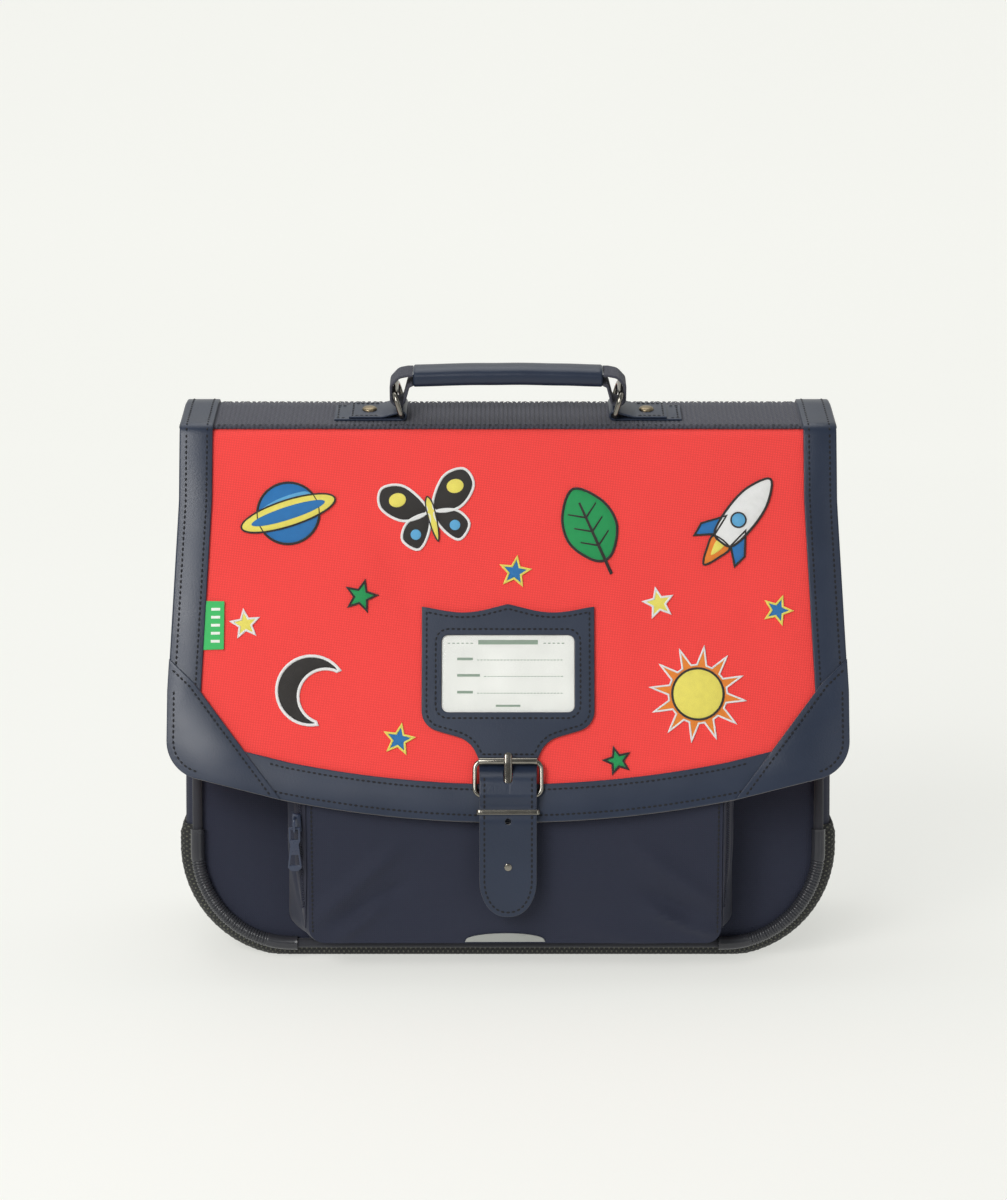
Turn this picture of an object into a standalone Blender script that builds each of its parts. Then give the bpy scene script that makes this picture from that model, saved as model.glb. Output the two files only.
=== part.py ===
"""School ransel: a stiff satchel with a folded-over flap, a buckled closing strap and a front pocket.

Sizes are in millimetres and become metres when a mesh is made. +X is the wearer's side to side, +Y
runs from the front to the back panel, +Z is up, and the origin is the middle of the base.
"""
import math

import bmesh
import bpy
from mathutils import Matrix, Vector

MM = 0.001
GAP = 0.3                  # clearance between touching pieces

# Body: an open box with a bowed gusset
BODY_HALF_WIDTH = 190.0    # over the base cloth
BODY_CORNER = 64.0         # radius of the lower corners, seen from the front
BODY_RIM = 288.0           # height of the open rim
BODY_WALL = 2.5
FRONT_FOOT_Y = -63.0       # front panel at floor level
FRONT_LEAN = 0.117         # backward lean of the front panel, per unit of height
BACK_Y = 64.0
GUSSET_BOW = 9.5           # how far the gusset's middle stands out from its seams
CORNER_STEPS = 7
# Share of the depth, and share of the bow that is missing there
GUSSET_SECTIONS = ((0.0, 1.0), (0.07, 0.52), (0.14, 0.16), (0.2, 0.0),
                   (0.8, 0.0), (0.86, 0.16), (0.93, 0.52), (1.0, 1.0))
COVER_THICKNESS = 1.5      # black base cloth
COVER_TOP = 77.0
COVER_MARGIN = 0.05        # share of the depth left bare at each seam

# Piping and its guards
PIPING_RADIUS = 2.8
PIPING_TOP = 276.0
GUARD_WALL = 0.9
GUARD_TOP = 76.0
GUARD_REACH = 3.5          # guard's length on the flat of the base
GUARD_SLIT_AT = -45.0      # angle of the guard's slit round the piping
FULL_TURN = 360.0
PIPING_BELOW_TAIL = 6.0    # back piping's end below the flap's tail
GUARD_SLIT = 50.0          # half angle of the guard's open side, in degrees

# Front pocket
POCKET_WALL = 2.0
POCKET_FRONT_Y = -93.0
POCKET_FRONT_HALF = 118.0
POCKET_FRONT_SHIFT = 4.0   # the pocket's face sits a little off centre
POCKET_SHOULDER_HALF = 127.5
POCKET_BACK_HALF = 129.0
POCKET_BACK_SHIFT = 1.5
POCKET_BEVEL = 13.5        # depth of the bevel between the face and the shoulder seam
POCKET_FOOT = 18.0
POCKET_TOP = 225.0
POCKET_CORNER = 9.0
POCKET_BEHIND_FLAP = 2.0

# Zips on the pocket's bevelled sides
ZIP_TAPE_INNER = 6.0       # tape's width each side of the coil, towards the shoulder and the face
ZIP_TAPE_OUTER = 4.4
ZIP_COIL = 3.2
ZIP_TAPE_THICKNESS = 0.7
ZIP_COIL_HEIGHT = 1.9
ZIP_PLACE = 0.7            # share of the bevel, from its shoulder
ZIP_FOOT = 30.0
ZIP_TOP = 200.0
SLIDER_Z = 89.0
SLIDER_LENGTH = 10.0
SLIDER_WIDTH = 6.6
SLIDER_THICKNESS = 2.4
BAIL_WIRE = 1.3
BAIL_HEIGHT = 6.4
BAIL_SINK = 1.2            # depth of the bail's feet in the slider
PULL_BAR = 1.4
PULL_THICKNESS = 1.6
PULL_LENGTH = 25.0
PULL_LINK = 9.0            # length of the link above the tab
PULL_WIDTH = 8.0
PULL_LINK_WIDTH = 6.6

# Flap: side profile as corners (y, z) with the radius of each bend
FLAP_THICKNESS = 2.0
FOLD_Y = -32.0
FOLD_Z = 305.6
FOLD_RADIUS = 8.0
CROWN_Y = 15.0
CROWN_Z = 317.0
CROWN_RADIUS = 40.0
BACK_TURN_Z = 300.0
BACK_TURN_RADIUS = 10.0
FLAP_TAIL_Z = 270.0
FLAP_FOOT_Y = -100.0       # lower edge of the flap, at its middle
FLAP_FOOT_Z = 91.5
BEND_STEP = 12.0           # degrees of bend per facet
FLAP_TOP_HALF = 188.5
FLAP_LOW_HALF = 193.5
FLAP_WIDEN_FROM = 40.0     # drop at which the flap starts to widen
FLAP_WIDEN_TO = 150.0
FLAP_EDGE_RISE = 29.0      # how much the curved lower edge rises at its sides
FLAP_CORNER = 22.0
BAND_WIDTH = 18.7
BOTTOM_BAND_WIDTH = 21.5
LEATHER = 1.4
BAND_END = 181.0           # drop where side band and bottom band meet, under the patch
PATCH_TOP = 132.0
PATCH_FOOT_IN = 64.9       # corner patch's reach along the bottom band, in from the flap's side
PATCH_CUT = ((46.5, 188.0), (14.7, 145.6))  # its slanting edge: in from the side, and drop
PATCH_FOOT_X = FLAP_LOW_HALF - PATCH_FOOT_IN
PATCH_INNER = tuple((FLAP_LOW_HALF - inward, drop) for inward, drop in PATCH_CUT)
WEBBING_DEPTH = 45.0
WEBBING_FRONT = -2.0       # drop of its front edge, just behind the fold
BAND_STEP = 6.0            # length over which a band comes down off the webbing
WEBBING_THICKNESS = 1.3
WEBBING_PROUD = 1.0        # webbing shows past the bands' outer edges

# Name holder and closing strap
HOLDER_HALF = 49.2
HOLDER_TOP = 102.1
HOLDER_SHOULDER = 161.6
HOLDER_THICKNESS = 1.8
WINDOW_HALF = 37.8
WINDOW_TOP = 118.4
WINDOW_FOOT = 162.5
WINDOW_CORNER = 3.7
CARD_THICKNESS = 0.4
CARD_INSET = 0.5
FILM_THICKNESS = 0.4
STRAP_HALF = 16.2
STRAP_THICKNESS = 1.8
STRAP_ROUND_FROM = 59.0    # height where the strap's rounded tip starts
STRAP_TIP = 37.9
STRAP_TIP_Y = -107.5
STRAP_HOLE_Z = 93.2
STRAP_HOLE_RADIUS = 1.7
EYELET_Z = 67.0
EYELET_RADIUS = 2.2
EYELET_HEIGHT = 0.7
SLOT_TOP = 195.6
SLOT_FOOT = 206.0
SLOT_HALF = 2.9

# Buckle
BUCKLE_HALF = 20.2
BUCKLE_TOP = 189.6
BUCKLE_FOOT = 211.4
NECK_ABOVE_BUCKLE = 1.6    # shield narrows to the strap this far above the buckle
HOLDER_NECK = BUCKLE_TOP - NECK_ABOVE_BUCKLE
BUCKLE_BAR = 2.6
BUCKLE_CORNER = 5.0
BUCKLE_TOP_BAR = 2.0
BUCKLE_INNER_CORNER = 0.7
BUCKLE_THICKNESS = 1.7
ROLLER_RADIUS = 2.2
ROLLER_BORE = 1.65
PRONG_HALF = 2.3
PRONG_THICKNESS = 1.4
PRONG_TIP = 186.2
KEEPER_BELOW = 8.2         # keeper's middle below the buckle's foot
KEEPER_DROP = BUCKLE_FOOT + KEEPER_BELOW
KEEPER_WIRE = 1.4
KEEPER_WIDTH = 2.8
CHAPE_HALF = 13.0
CHAPE_TOP = 206.0
CHAPE_FOOT = 222.0

# Side tag
TAG_OUT = 10.5
TAG_TOP = 98.6
TAG_FOOT = 126.8
TAG_THICKNESS = 0.8
TAG_CLEAR = 0.4            # gap to the band that it is sewn under

# Handle, in the tilted plane of the flap's top
HANDLE_Y = -9.5
GRIP_HALF = 54.7
GRIP_DEPTH = 18.0
GRIP_HEIGHT = 11.0
GRIP_RISE = 25.3           # grip's middle above the flap
GRIP_ARCH = 1.2
LOOP_HALF = 8.5
LOOP_THICKNESS = 1.4
RING_WIRE = 1.5
RING_X = 61.5
RING_LEAN = 3.6
RING_HEIGHT = 13.0
RING_HALF = 14.3
RING_CORNER = 5.5
TAB_HALF = 12.0
TAB_THICKNESS = 1.2
TAB_OUT = 100.5
TAB_TOP_OUT = 92.0
TAB_PINCH = 73.0
RIVET_X = 80.5
RIVET_RADIUS = 4.3
RIVET_HEIGHT = 1.6

# Back pad and shoulder straps
PAD_MARGIN = 30.0          # pad's side in from the body's
PAD_HALF = BODY_HALF_WIDTH - PAD_MARGIN
PAD_FOOT = 28.0
PAD_TOP = 264.0
PAD_THICKNESS = 10.0
PAD_CORNER = 30.0
CARRY_WIDTH = 54.0
CARRY_THICKNESS = 8.0
CARRY_OUT = 30.0           # how far the strap stands off the pad
CARRY_FOOT = 104.0
CARRY_TOP_X = 48.0
CARRY_FOOT_X = 96.0
CARRY_ACROSS = Vector((1.0, 0.0, 0.25))
SIDE_WEBBING = 24.0
SIDE_WEBBING_THICKNESS = 1.5
ANCHOR_Y = 24.0
ANCHOR_LENGTH = 26.0
ANCHOR_THICKNESS = 2.6
ADJUSTER_WIDTH = 32.0
ADJUSTER_HEIGHT = 18.0
ADJUSTER_THICKNESS = 3.5

FINISHES = {
    "navy_fabric": ((0.021, 0.023, 0.056), 0.85, 0.0),
    "red_fabric": ((0.84, 0.055, 0.046), 0.8, 0.0),
    "navy_leather": ((0.030, 0.046, 0.085), 0.45, 0.0),
    "slate_webbing": ((0.065, 0.068, 0.100), 0.9, 0.0),
    "black_cloth": ((0.012, 0.013, 0.012), 0.8, 0.0),
    "charcoal_piping": ((0.022, 0.023, 0.028), 0.75, 0.0),
    "grey_plastic": ((0.045, 0.046, 0.050), 0.3, 0.0),
    "gunmetal": ((0.17, 0.17, 0.175), 0.28, 1.0),
    "old_brass": ((0.20, 0.12, 0.07), 0.35, 1.0),
    "slate_metal": ((0.06, 0.08, 0.14), 0.4, 0.6),
    "green_weave": ((0.05, 0.42, 0.12), 0.75, 0.0),
    "card": ((0.82, 0.84, 0.79), 0.6, 0.0),
    "film": ((0.80, 0.82, 0.80), 0.12, 0.0),
    "silver_reflector": ((0.45, 0.46, 0.46), 0.4, 0.3),
}


def clear_scene():
    for item in list(bpy.data.objects):
        bpy.data.objects.remove(item, do_unlink=True)


def finish(name):
    if name in bpy.data.materials:
        return bpy.data.materials[name]
    colour, roughness, metallic = FINISHES[name]
    material = bpy.data.materials.new(name)
    material.use_nodes = True
    shader = material.node_tree.nodes["Principled BSDF"]
    shader.inputs["Base Color"].default_value = (*colour, 1.0)
    shader.inputs["Roughness"].default_value = roughness
    shader.inputs["Metallic"].default_value = metallic
    material.diffuse_color = (*colour, 1.0)
    return material


def add_object(name, bm, finish_name):
    bmesh.ops.recalc_face_normals(bm, faces=bm.faces)
    mesh = bpy.data.meshes.new(name)
    bm.to_mesh(mesh)
    bm.free()
    mesh.shade_smooth()
    mesh.set_sharp_from_angle(angle=math.radians(35))
    item = bpy.data.objects.new(name, mesh)
    bpy.context.scene.collection.objects.link(item)
    if finish_name:
        mesh.materials.append(finish(finish_name))
    return item


def loft(name, rings, finish_name, closed=False, cap=None):
    """A solid through rings of equal length; cap lists the faces that close each end."""
    bm = bmesh.new()
    rows = [[bm.verts.new(Vector(point) * MM) for point in ring] for ring in rings]
    count = len(rings[0])
    pairs = list(zip(rows, rows[1:]))
    if closed:
        pairs.append((rows[-1], rows[0]))
    for lower, upper in pairs:
        for i in range(count):
            j = (i + 1) % count
            bm.faces.new((lower[i], lower[j], upper[j], upper[i]))
    if not closed:
        for row in (rows[0], rows[-1]):
            for face in cap or [range(count)]:
                bm.faces.new([row[i] for i in face])
    return add_object(name, bm, finish_name)


def prism(name, outline, to_world, low, high, finish_name):
    """A flat piece: a 2-D outline between two heights of a placing function (a, b, height)."""
    rings = [[to_world(a, b, height) for a, b in outline] for height in (low, high)]
    return loft(name, rings, finish_name)


def tube(name, points, radius, finish_name, resolution=2, cyclic=False):
    curve = bpy.data.curves.new(name, "CURVE")
    curve.dimensions = "3D"
    curve.bevel_depth = radius * MM
    curve.bevel_resolution = resolution
    curve.use_fill_caps = True
    spline = curve.splines.new("POLY")
    spline.points.add(len(points) - 1)
    for knot, point in zip(spline.points, points):
        knot.co = (*(Vector(point) * MM), 1.0)
    spline.use_cyclic_u = cyclic
    item = bpy.data.objects.new(name, curve)
    bpy.context.scene.collection.objects.link(item)
    curve.materials.append(finish(finish_name))
    return item


def combine(target, other, operation):
    """A Boolean of one object with a helper, which is then left out of the model."""
    modifier = target.modifiers.new(operation.lower(), "BOOLEAN")
    modifier.operation = operation
    modifier.object = other
    modifier.solver = "EXACT"
    other.hide_render = True
    other.display_type = "WIRE"


def arc(centre, radius, start, end, steps):
    """Points of an arc, angles in degrees."""
    angles = [math.radians(start + (end - start) * i / steps) for i in range(steps + 1)]
    return [(centre[0] + radius * math.cos(a), centre[1] + radius * math.sin(a)) for a in angles]


def rounded_path(corners, cyclic=False, step=BEND_STEP):
    """A 2-D path through corners (a, b, radius), each corner turned as an arc."""
    count = len(corners)
    path = []
    for i, (a, b, radius) in enumerate(corners):
        here = Vector((a, b))
        if not radius or (not cyclic and i in (0, count - 1)):
            path.append((a, b))
            continue
        before = (Vector(corners[i - 1][:2]) - here).normalized()
        after = (Vector(corners[(i + 1) % count][:2]) - here).normalized()
        turn = math.pi - before.angle(after)
        reach = radius * math.tan(turn / 2)
        centre = here + (before + after).normalized() * (radius / math.cos(turn / 2))
        first = here + before * reach - centre
        side = math.copysign(1.0, (here + after * reach - centre).cross(first) * -1.0)
        steps = max(1, round(math.degrees(turn) / step))
        for k in range(steps + 1):
            spoke = Matrix.Rotation(side * turn * k / steps, 2) @ first
            path.append(tuple(centre + spoke))
    return path


def rounded_box(half_a, low_b, high_b, radius, step=30.0):
    corners = ((-half_a, low_b, radius), (half_a, low_b, radius),
               (half_a, high_b, radius), (-half_a, high_b, radius))
    return rounded_path(corners, cyclic=True, step=step)


def between(table, at):
    """Straight-line reading of a table of (place, value)."""
    if at <= table[0][0]:
        return table[0][1]
    for (a, low), (b, high) in zip(table, table[1:]):
        if at <= b:
            return low + (high - low) * (at - a) / (b - a)
    return table[-1][1]


# Body

def front_y(z):
    return FRONT_FOOT_Y + FRONT_LEAN * z


def u_outline(half, foot, radius, top):
    """An open-topped U in (x, z), from its left top round to its right top."""
    centre = (radius - half, foot + radius)
    left = [(-half, top)] + arc(centre, radius, 180.0, 270.0, CORNER_STEPS)
    return left + [(-x, z) for x, z in reversed(left)]


def gusset_point(x, z, share, depth=0.0):
    """Places an outline point at a share of the bag's depth, clear of the front and back by depth."""
    start = front_y(z) + depth
    return (x, start + share * (BACK_Y - depth - start), z)


def gusset_ring(share, inward, top, depth=0.0):
    inset = GUSSET_BOW * between(GUSSET_SECTIONS, share) + inward
    outline = u_outline(BODY_HALF_WIDTH - inset, inset, BODY_CORNER - inset, top)
    return [gusset_point(x, z, share, depth) for x, z in outline]


def make_body():
    inward = COVER_THICKNESS + GAP
    shares = [share for share, _ in GUSSET_SECTIONS]
    shell = loft("body_shell", [gusset_ring(s, inward, BODY_RIM) for s in shares], "navy_fabric")
    inside = [gusset_ring(s, inward + BODY_WALL, BODY_RIM + 10.0, BODY_WALL) for s in shares]
    combine(shell, loft("body_cavity", inside, None), "DIFFERENCE")
    cover_shares = [max(COVER_MARGIN, min(1.0 - COVER_MARGIN, s)) for s in shares]
    outer = [gusset_ring(s, 0.0, COVER_TOP) for s in cover_shares]
    inner = [gusset_ring(s, COVER_THICKNESS, COVER_TOP) for s in cover_shares]
    strips = [list(column) + list(reversed(back)) for column, back in zip(zip(*outer), zip(*inner))]
    loft("base_cover", strips, "black_cloth")


def piping_path(y_at, top, reach=None):
    """Centre line of a piped seam; reach cuts it short of the middle, for a corner guard."""
    inset = GUSSET_BOW
    outline = u_outline(BODY_HALF_WIDTH - inset, inset, BODY_CORNER - inset, top)
    if reach is not None:
        left = outline[:len(outline) // 2]
        outline = left + [(left[-1][0] + reach, left[-1][1])]
    return [(x, y_at(z), z) for x, z in outline]


def piped_front_y(z):
    return front_y(z) - PIPING_RADIUS


def piped_back_y(_z):
    return BACK_Y + PIPING_RADIUS


def make_piping():
    tube("front_piping", piping_path(piped_front_y, PIPING_TOP), PIPING_RADIUS, "charcoal_piping")
    tube("back_piping", piping_path(piped_back_y, FLAP_TAIL_Z - PIPING_BELOW_TAIL), PIPING_RADIUS, "charcoal_piping")
    bore = PIPING_RADIUS + GAP
    shell = bore + GUARD_WALL
    # The guard is a split tube whose slit faces the seam, inward and to the back.
    start = GUARD_SLIT_AT + GUARD_SLIT
    end = GUARD_SLIT_AT + FULL_TURN - GUARD_SLIT
    outer = arc((0, 0), shell, start, end, 8)
    inner = arc((0, 0), bore, end, start, 8)
    section = outer + inner
    path = piping_path(piped_front_y, GUARD_TOP, GUARD_REACH)
    for side, name in ((1, "corner_guard_left"), (-1, "corner_guard_right")):
        rings = []
        for i, point in enumerate(path):
            ahead = path[min(i + 1, len(path) - 1)]
            behind = path[max(i - 1, 0)]
            along = Vector((ahead[0] - behind[0], 0.0, ahead[2] - behind[2])).normalized()
            inward = Vector((-along.z, 0.0, along.x))
            ring = [Vector(point) + inward * -b + Vector((0.0, a, 0.0)) for a, b in section]
            rings.append([(p.x * side, p.y, p.z) for p in ring])
        loft(name, rings, "grey_plastic")


# Front pocket

def flap_plane_y(z):
    """Outer face of the flap's hanging part."""
    slope = (FOLD_Y - FLAP_FOOT_Y) / (FOLD_Z - FLAP_FOOT_Z)
    return FLAP_FOOT_Y + slope * (z - FLAP_FOOT_Z)


def pocket_front_y(z):
    return max(POCKET_FRONT_Y, flap_plane_y(z) + FLAP_THICKNESS + POCKET_BEHIND_FLAP)


def pocket_bend_z():
    """Height where the pocket's face starts to lean back under the flap."""
    slope = (FOLD_Y - FLAP_FOOT_Y) / (FOLD_Z - FLAP_FOOT_Z)
    return FLAP_FOOT_Z + (POCKET_FRONT_Y - FLAP_THICKNESS - POCKET_BEHIND_FLAP - FLAP_FOOT_Y) / slope


def pocket_seam(seam):
    """Half width and middle of the pocket at its back, shoulder or front seam."""
    return {"back": (POCKET_BACK_HALF, POCKET_BACK_SHIFT),
            "shoulder": (POCKET_SHOULDER_HALF, POCKET_BACK_SHIFT),
            "front": (POCKET_FRONT_HALF, POCKET_FRONT_SHIFT)}[seam]


def pocket_y(z, seam):
    if seam == "back":
        return front_y(z) - GAP
    return pocket_front_y(z) + (POCKET_BEVEL if seam == "shoulder" else 0.0)


def pocket_ring(seam, wall, push=0.0):
    """Outline of one seam, drawn in by wall and pushed back."""
    half, shift = pocket_seam(seam)
    half -= wall
    foot = POCKET_FOOT + wall
    corner = POCKET_CORNER - wall
    left = [(-half, POCKET_TOP - wall), (-half, pocket_bend_z())]
    left += arc((corner - half, foot + corner), corner, 180.0, 270.0, 4)
    outline = left + [(-x, z) for x, z in reversed(left)]
    return [(x + shift, pocket_y(z, seam) + push, z) for x, z in outline]


def make_pocket():
    outer = [pocket_ring(seam, 0.0) for seam in ("back", "shoulder", "front")]
    inner = [pocket_ring("back", POCKET_WALL, 5.0), pocket_ring("shoulder", POCKET_WALL),
             pocket_ring("front", POCKET_WALL, POCKET_WALL)]
    last = len(outer[0]) - 1
    face = [(0, 1, last - 1, last), range(1, last)]
    pocket = loft("front_pocket", outer, "navy_fabric", cap=face)
    combine(pocket, loft("pocket_cavity", inner, None, cap=face), "DIFFERENCE")


def zip_frame(side, z):
    """Origin, across and outward directions of the pocket's bevel at height z."""
    half_a, shift_a = pocket_seam("shoulder")
    half_b, shift_b = pocket_seam("front")
    a = Vector((shift_a + side * half_a, pocket_y(z, "shoulder"), z))
    b = Vector((shift_b + side * half_b, pocket_y(z, "front"), z))
    across = (b - a).normalized()
    outward = Vector((across.y, -across.x, 0.0)) * side * -1.0
    return a.lerp(b, ZIP_PLACE), across, outward


def zip_place(side, z):
    origin, across, outward = zip_frame(side, z)

    def to_world(a, height, out):
        point = origin + across * a + outward * out
        return (point.x, point.y, z + height)
    return to_world


def make_zips():
    tape = GAP + ZIP_TAPE_THICKNESS
    coil = ZIP_COIL / 2
    high = GAP + ZIP_COIL_HEIGHT
    section = ((-ZIP_TAPE_INNER, GAP), (ZIP_TAPE_OUTER, GAP), (ZIP_TAPE_OUTER, tape), (coil, tape),
               (coil, high), (-coil, high), (-coil, tape), (-ZIP_TAPE_INNER, tape))
    for side, name in ((-1, "zip_left"), (1, "zip_right")):
        rings = []
        for z in (ZIP_FOOT, pocket_bend_z(), ZIP_TOP):
            to_world = zip_place(side, z)
            rings.append([to_world(a, 0.0, out) for a, out in section])
        loft(name, rings, "navy_fabric")
    make_slider(high + GAP)


def make_slider(seat):
    to_world = zip_place(-1, SLIDER_Z)
    half = SLIDER_WIDTH / 2
    body = ((-half, -SLIDER_LENGTH / 2), (half, -SLIDER_LENGTH / 2),
            (half * 0.7, SLIDER_LENGTH / 2), (-half * 0.7, SLIDER_LENGTH / 2))
    slider = prism("zip_slider", body, to_world, seat, seat + SLIDER_THICKNESS, "slate_metal")
    crown = Vector(to_world(0.0, 0.0, seat + SLIDER_THICKNESS))
    wire = BAIL_WIRE
    low, high = -SLIDER_LENGTH / 2 + 0.4, SLIDER_LENGTH / 2 - 1.4
    outer = rounded_path(((low, -BAIL_SINK, 0), (low, BAIL_HEIGHT, 1.6), (high, BAIL_HEIGHT, 1.6),
                          (high, -BAIL_SINK, 0)), step=45.0)
    inner = [(max(low + wire, min(high - wire, z)), min(out, BAIL_HEIGHT - wire)) for z, out in outer]
    arch = list(outer) + list(reversed(inner))
    rings = [[(crown.x + across, crown.y - out, crown.z + z) for z, out in arch]
             for across in (-wire / 2, wire / 2)]
    combine(slider, loft("bail_helper", rings, "slate_metal"), "UNION")
    reach = BAIL_HEIGHT - wire - GAP - PULL_THICKNESS / 2
    make_pull(Vector((crown.x, crown.y - reach, crown.z + low + wire + GAP + PULL_BAR / 2)))


def make_pull(pivot):
    """Link and tab in one, hanging from the slider's bail and swinging about X at its own origin."""
    top = PULL_BAR / 2
    link = PULL_LINK_WIDTH / 2
    tab = PULL_WIDTH / 2
    foot = -PULL_LENGTH
    waist = -PULL_LINK
    outline = ((-link, top), (-link, waist + 1.5), (-link * 0.72, waist), (-tab, foot + 2.0),
               (-tab + 2.0, foot), (tab - 2.0, foot), (tab, foot + 2.0), (link * 0.72, waist),
               (link, waist + 1.5), (link, top))
    half = PULL_THICKNESS / 2

    def hanging(x, z, y):
        return (x, y, z)

    pull = prism("zip_pull", outline, hanging, -half, half, "slate_metal")
    wire = 1.2
    eye = ((-link + wire, -top), (link - wire, -top), (link - wire, waist + 2.4), (-link + wire, waist + 2.4))
    slot = ((-2.0, foot + 9.5), (2.0, foot + 9.5), (2.8, foot + 3.4), (-2.8, foot + 3.4))
    for name, hole in (("pull_eye_cutter", eye), ("pull_slot_cutter", slot)):
        cutter = prism(name, hole, hanging, -half - 1.0, half + 1.0, None)
        combine(pull, cutter, "DIFFERENCE")
        cutter.location = pivot * MM
    pull.location = pivot * MM


# Flap

def flap_profile():
    """The flap's outer face seen from the side, from its tail at the back to its lower edge."""
    tail_y = BACK_Y + GAP + FLAP_THICKNESS
    corners = ((tail_y, FLAP_TAIL_Z, 0), (tail_y, BACK_TURN_Z, BACK_TURN_RADIUS),
               (CROWN_Y, CROWN_Z, CROWN_RADIUS), (FOLD_Y, FOLD_Z, FOLD_RADIUS),
               (FLAP_FOOT_Y, FLAP_FOOT_Z, 0))
    return [Vector(point) for point in rounded_path(corners)]


def flap_stations():
    """Drop of each profile point: how far it lies below the fold, along the flap."""
    profile = flap_profile()
    lengths = [0.0]
    for a, b in zip(profile, profile[1:]):
        lengths.append(lengths[-1] + (b - a).length)
    return [length - lengths[-1] + flap_drop() for length in lengths]


def flap_drop():
    """Length of the hanging part, from the fold to the lower edge."""
    return math.hypot(FOLD_Y - FLAP_FOOT_Y, FOLD_Z - FLAP_FOOT_Z)


def outward_normal(a, b):
    along = (b - a).normalized()
    return Vector((-along.y, along.x)) * -1.0


def flap_point(x, drop, lift):
    """A point of the flap: x across, drop along its profile, lift out from its outer face."""
    profile = flap_profile()
    stations = flap_stations()
    last = len(profile) - 1
    for i in range(1, last):
        if abs(stations[i] - drop) < 1e-6:
            first = outward_normal(profile[i - 1], profile[i])
            second = outward_normal(profile[i], profile[i + 1])
            middle = (first + second).normalized()
            point = profile[i] + middle * (lift / middle.dot(first))
            return (x, point.x, point.y)
    i = max(k for k in range(last) if stations[k] <= drop or k == 0)
    share = (drop - stations[i]) / (stations[i + 1] - stations[i])
    point = profile[i].lerp(profile[i + 1], share) + outward_normal(profile[i], profile[i + 1]) * lift
    return (x, point.x, point.y)


def flap_rows(start, end):
    """Drops between two places with every bend of the profile among them."""
    inside = [s for s in flap_stations() if start + 0.5 < s < end - 0.5]
    return [start] + inside + [end]


def flap_side_half(drop):
    return between(((FLAP_WIDEN_FROM, FLAP_TOP_HALF), (FLAP_WIDEN_TO, FLAP_LOW_HALF)), drop)


def lower_edge(x):
    """Drop of the flap's curved lower edge, before its corners are rounded."""
    return flap_drop() - FLAP_EDGE_RISE * (x / FLAP_LOW_HALF) ** 2


def flap_corner_outline(step=15.0):
    """Right half of the flap's outline, (x, drop), from its side down round to the middle."""
    curve = [(x, lower_edge(x)) for x in [PATCH_FOOT_X * share for share in (1.0, 0.75, 0.5, 0.25, 0.0)]]
    corners = [(FLAP_LOW_HALF, FLAP_WIDEN_TO, 0), (FLAP_LOW_HALF, lower_edge(FLAP_LOW_HALF), FLAP_CORNER),
               (PATCH_FOOT_X, lower_edge(PATCH_FOOT_X), 0)]
    return rounded_path(corners, step=step) + curve[1:]


def flap_half(drop):
    outline = flap_corner_outline()
    if drop <= FLAP_WIDEN_TO:
        return flap_side_half(drop)
    return between([(v, x) for x, v in outline], drop)


def edge_drop(x):
    """Drop of the flap's outline at x, its rounded corner included."""
    outline = [(px, v) for px, v in flap_corner_outline() if v > FLAP_WIDEN_TO + 5.0]
    return between(sorted(outline), abs(x))


def band_step():
    return (WEBBING_FRONT + 0.5, WEBBING_FRONT + 0.5 + BAND_STEP)


def band_lift(drop):
    """Bands lie on the flap, and over the webbing along the top."""
    return between(tuple(zip(band_step(), (GAP + WEBBING_THICKNESS + GAP, GAP))), drop)


def tail_start():
    return flap_stations()[0]


def make_flap_panel():
    outline = flap_corner_outline()
    low = [v for _, v in outline if v > FLAP_WIDEN_TO and v < flap_drop() - 0.3]
    rows = flap_rows(tail_start(), FLAP_WIDEN_FROM) + [FLAP_WIDEN_TO] + low + [flap_drop() - 0.3]
    rings = []
    for drop in rows:
        half = flap_half(drop)
        rings.append([flap_point(-half, drop, -FLAP_THICKNESS), flap_point(half, drop, -FLAP_THICKNESS),
                      flap_point(half, drop, 0.0), flap_point(-half, drop, 0.0)])
    loft("flap_panel", rings, "red_fabric")


def make_bands():
    rows = flap_rows(tail_start(), FLAP_WIDEN_FROM) + [FLAP_WIDEN_TO, BAND_END]
    rows = sorted(set(rows + list(band_step())))
    for side, name in ((-1, "side_band_left"), (1, "side_band_right")):
        rings = []
        for drop in rows:
            outer = flap_half(drop)
            inner = flap_side_half(drop) - BAND_WIDTH
            low = band_lift(drop)
            high = low + LEATHER
            rings.append([flap_point(side * x, drop, lift) for x, lift in
                          ((inner, low), (outer, low), (outer, high), (inner, high))])
        loft(name, rings, "navy_leather")
    columns = [FLAP_LOW_HALF * share for share in (0.975, 0.94, 0.9, 0.8, 0.66, 0.5, 0.33, 0.16)]
    columns = [-x for x in columns] + [0.0] + list(reversed(columns))
    rings = []
    for x in columns:
        top = max(lower_edge(x) - BOTTOM_BAND_WIDTH, BAND_END + GAP) if abs(x) > PATCH_FOOT_X \
            else lower_edge(x) - BOTTOM_BAND_WIDTH
        foot = edge_drop(x)
        rings.append([flap_point(x, drop, lift) for drop, lift in
                      ((top, GAP), (foot, GAP), (foot, GAP + LEATHER), (top, GAP + LEATHER))])
    loft("bottom_band", rings, "navy_leather")


def flap_place(a, b, height):
    return flap_point(a, b, height)


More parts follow.
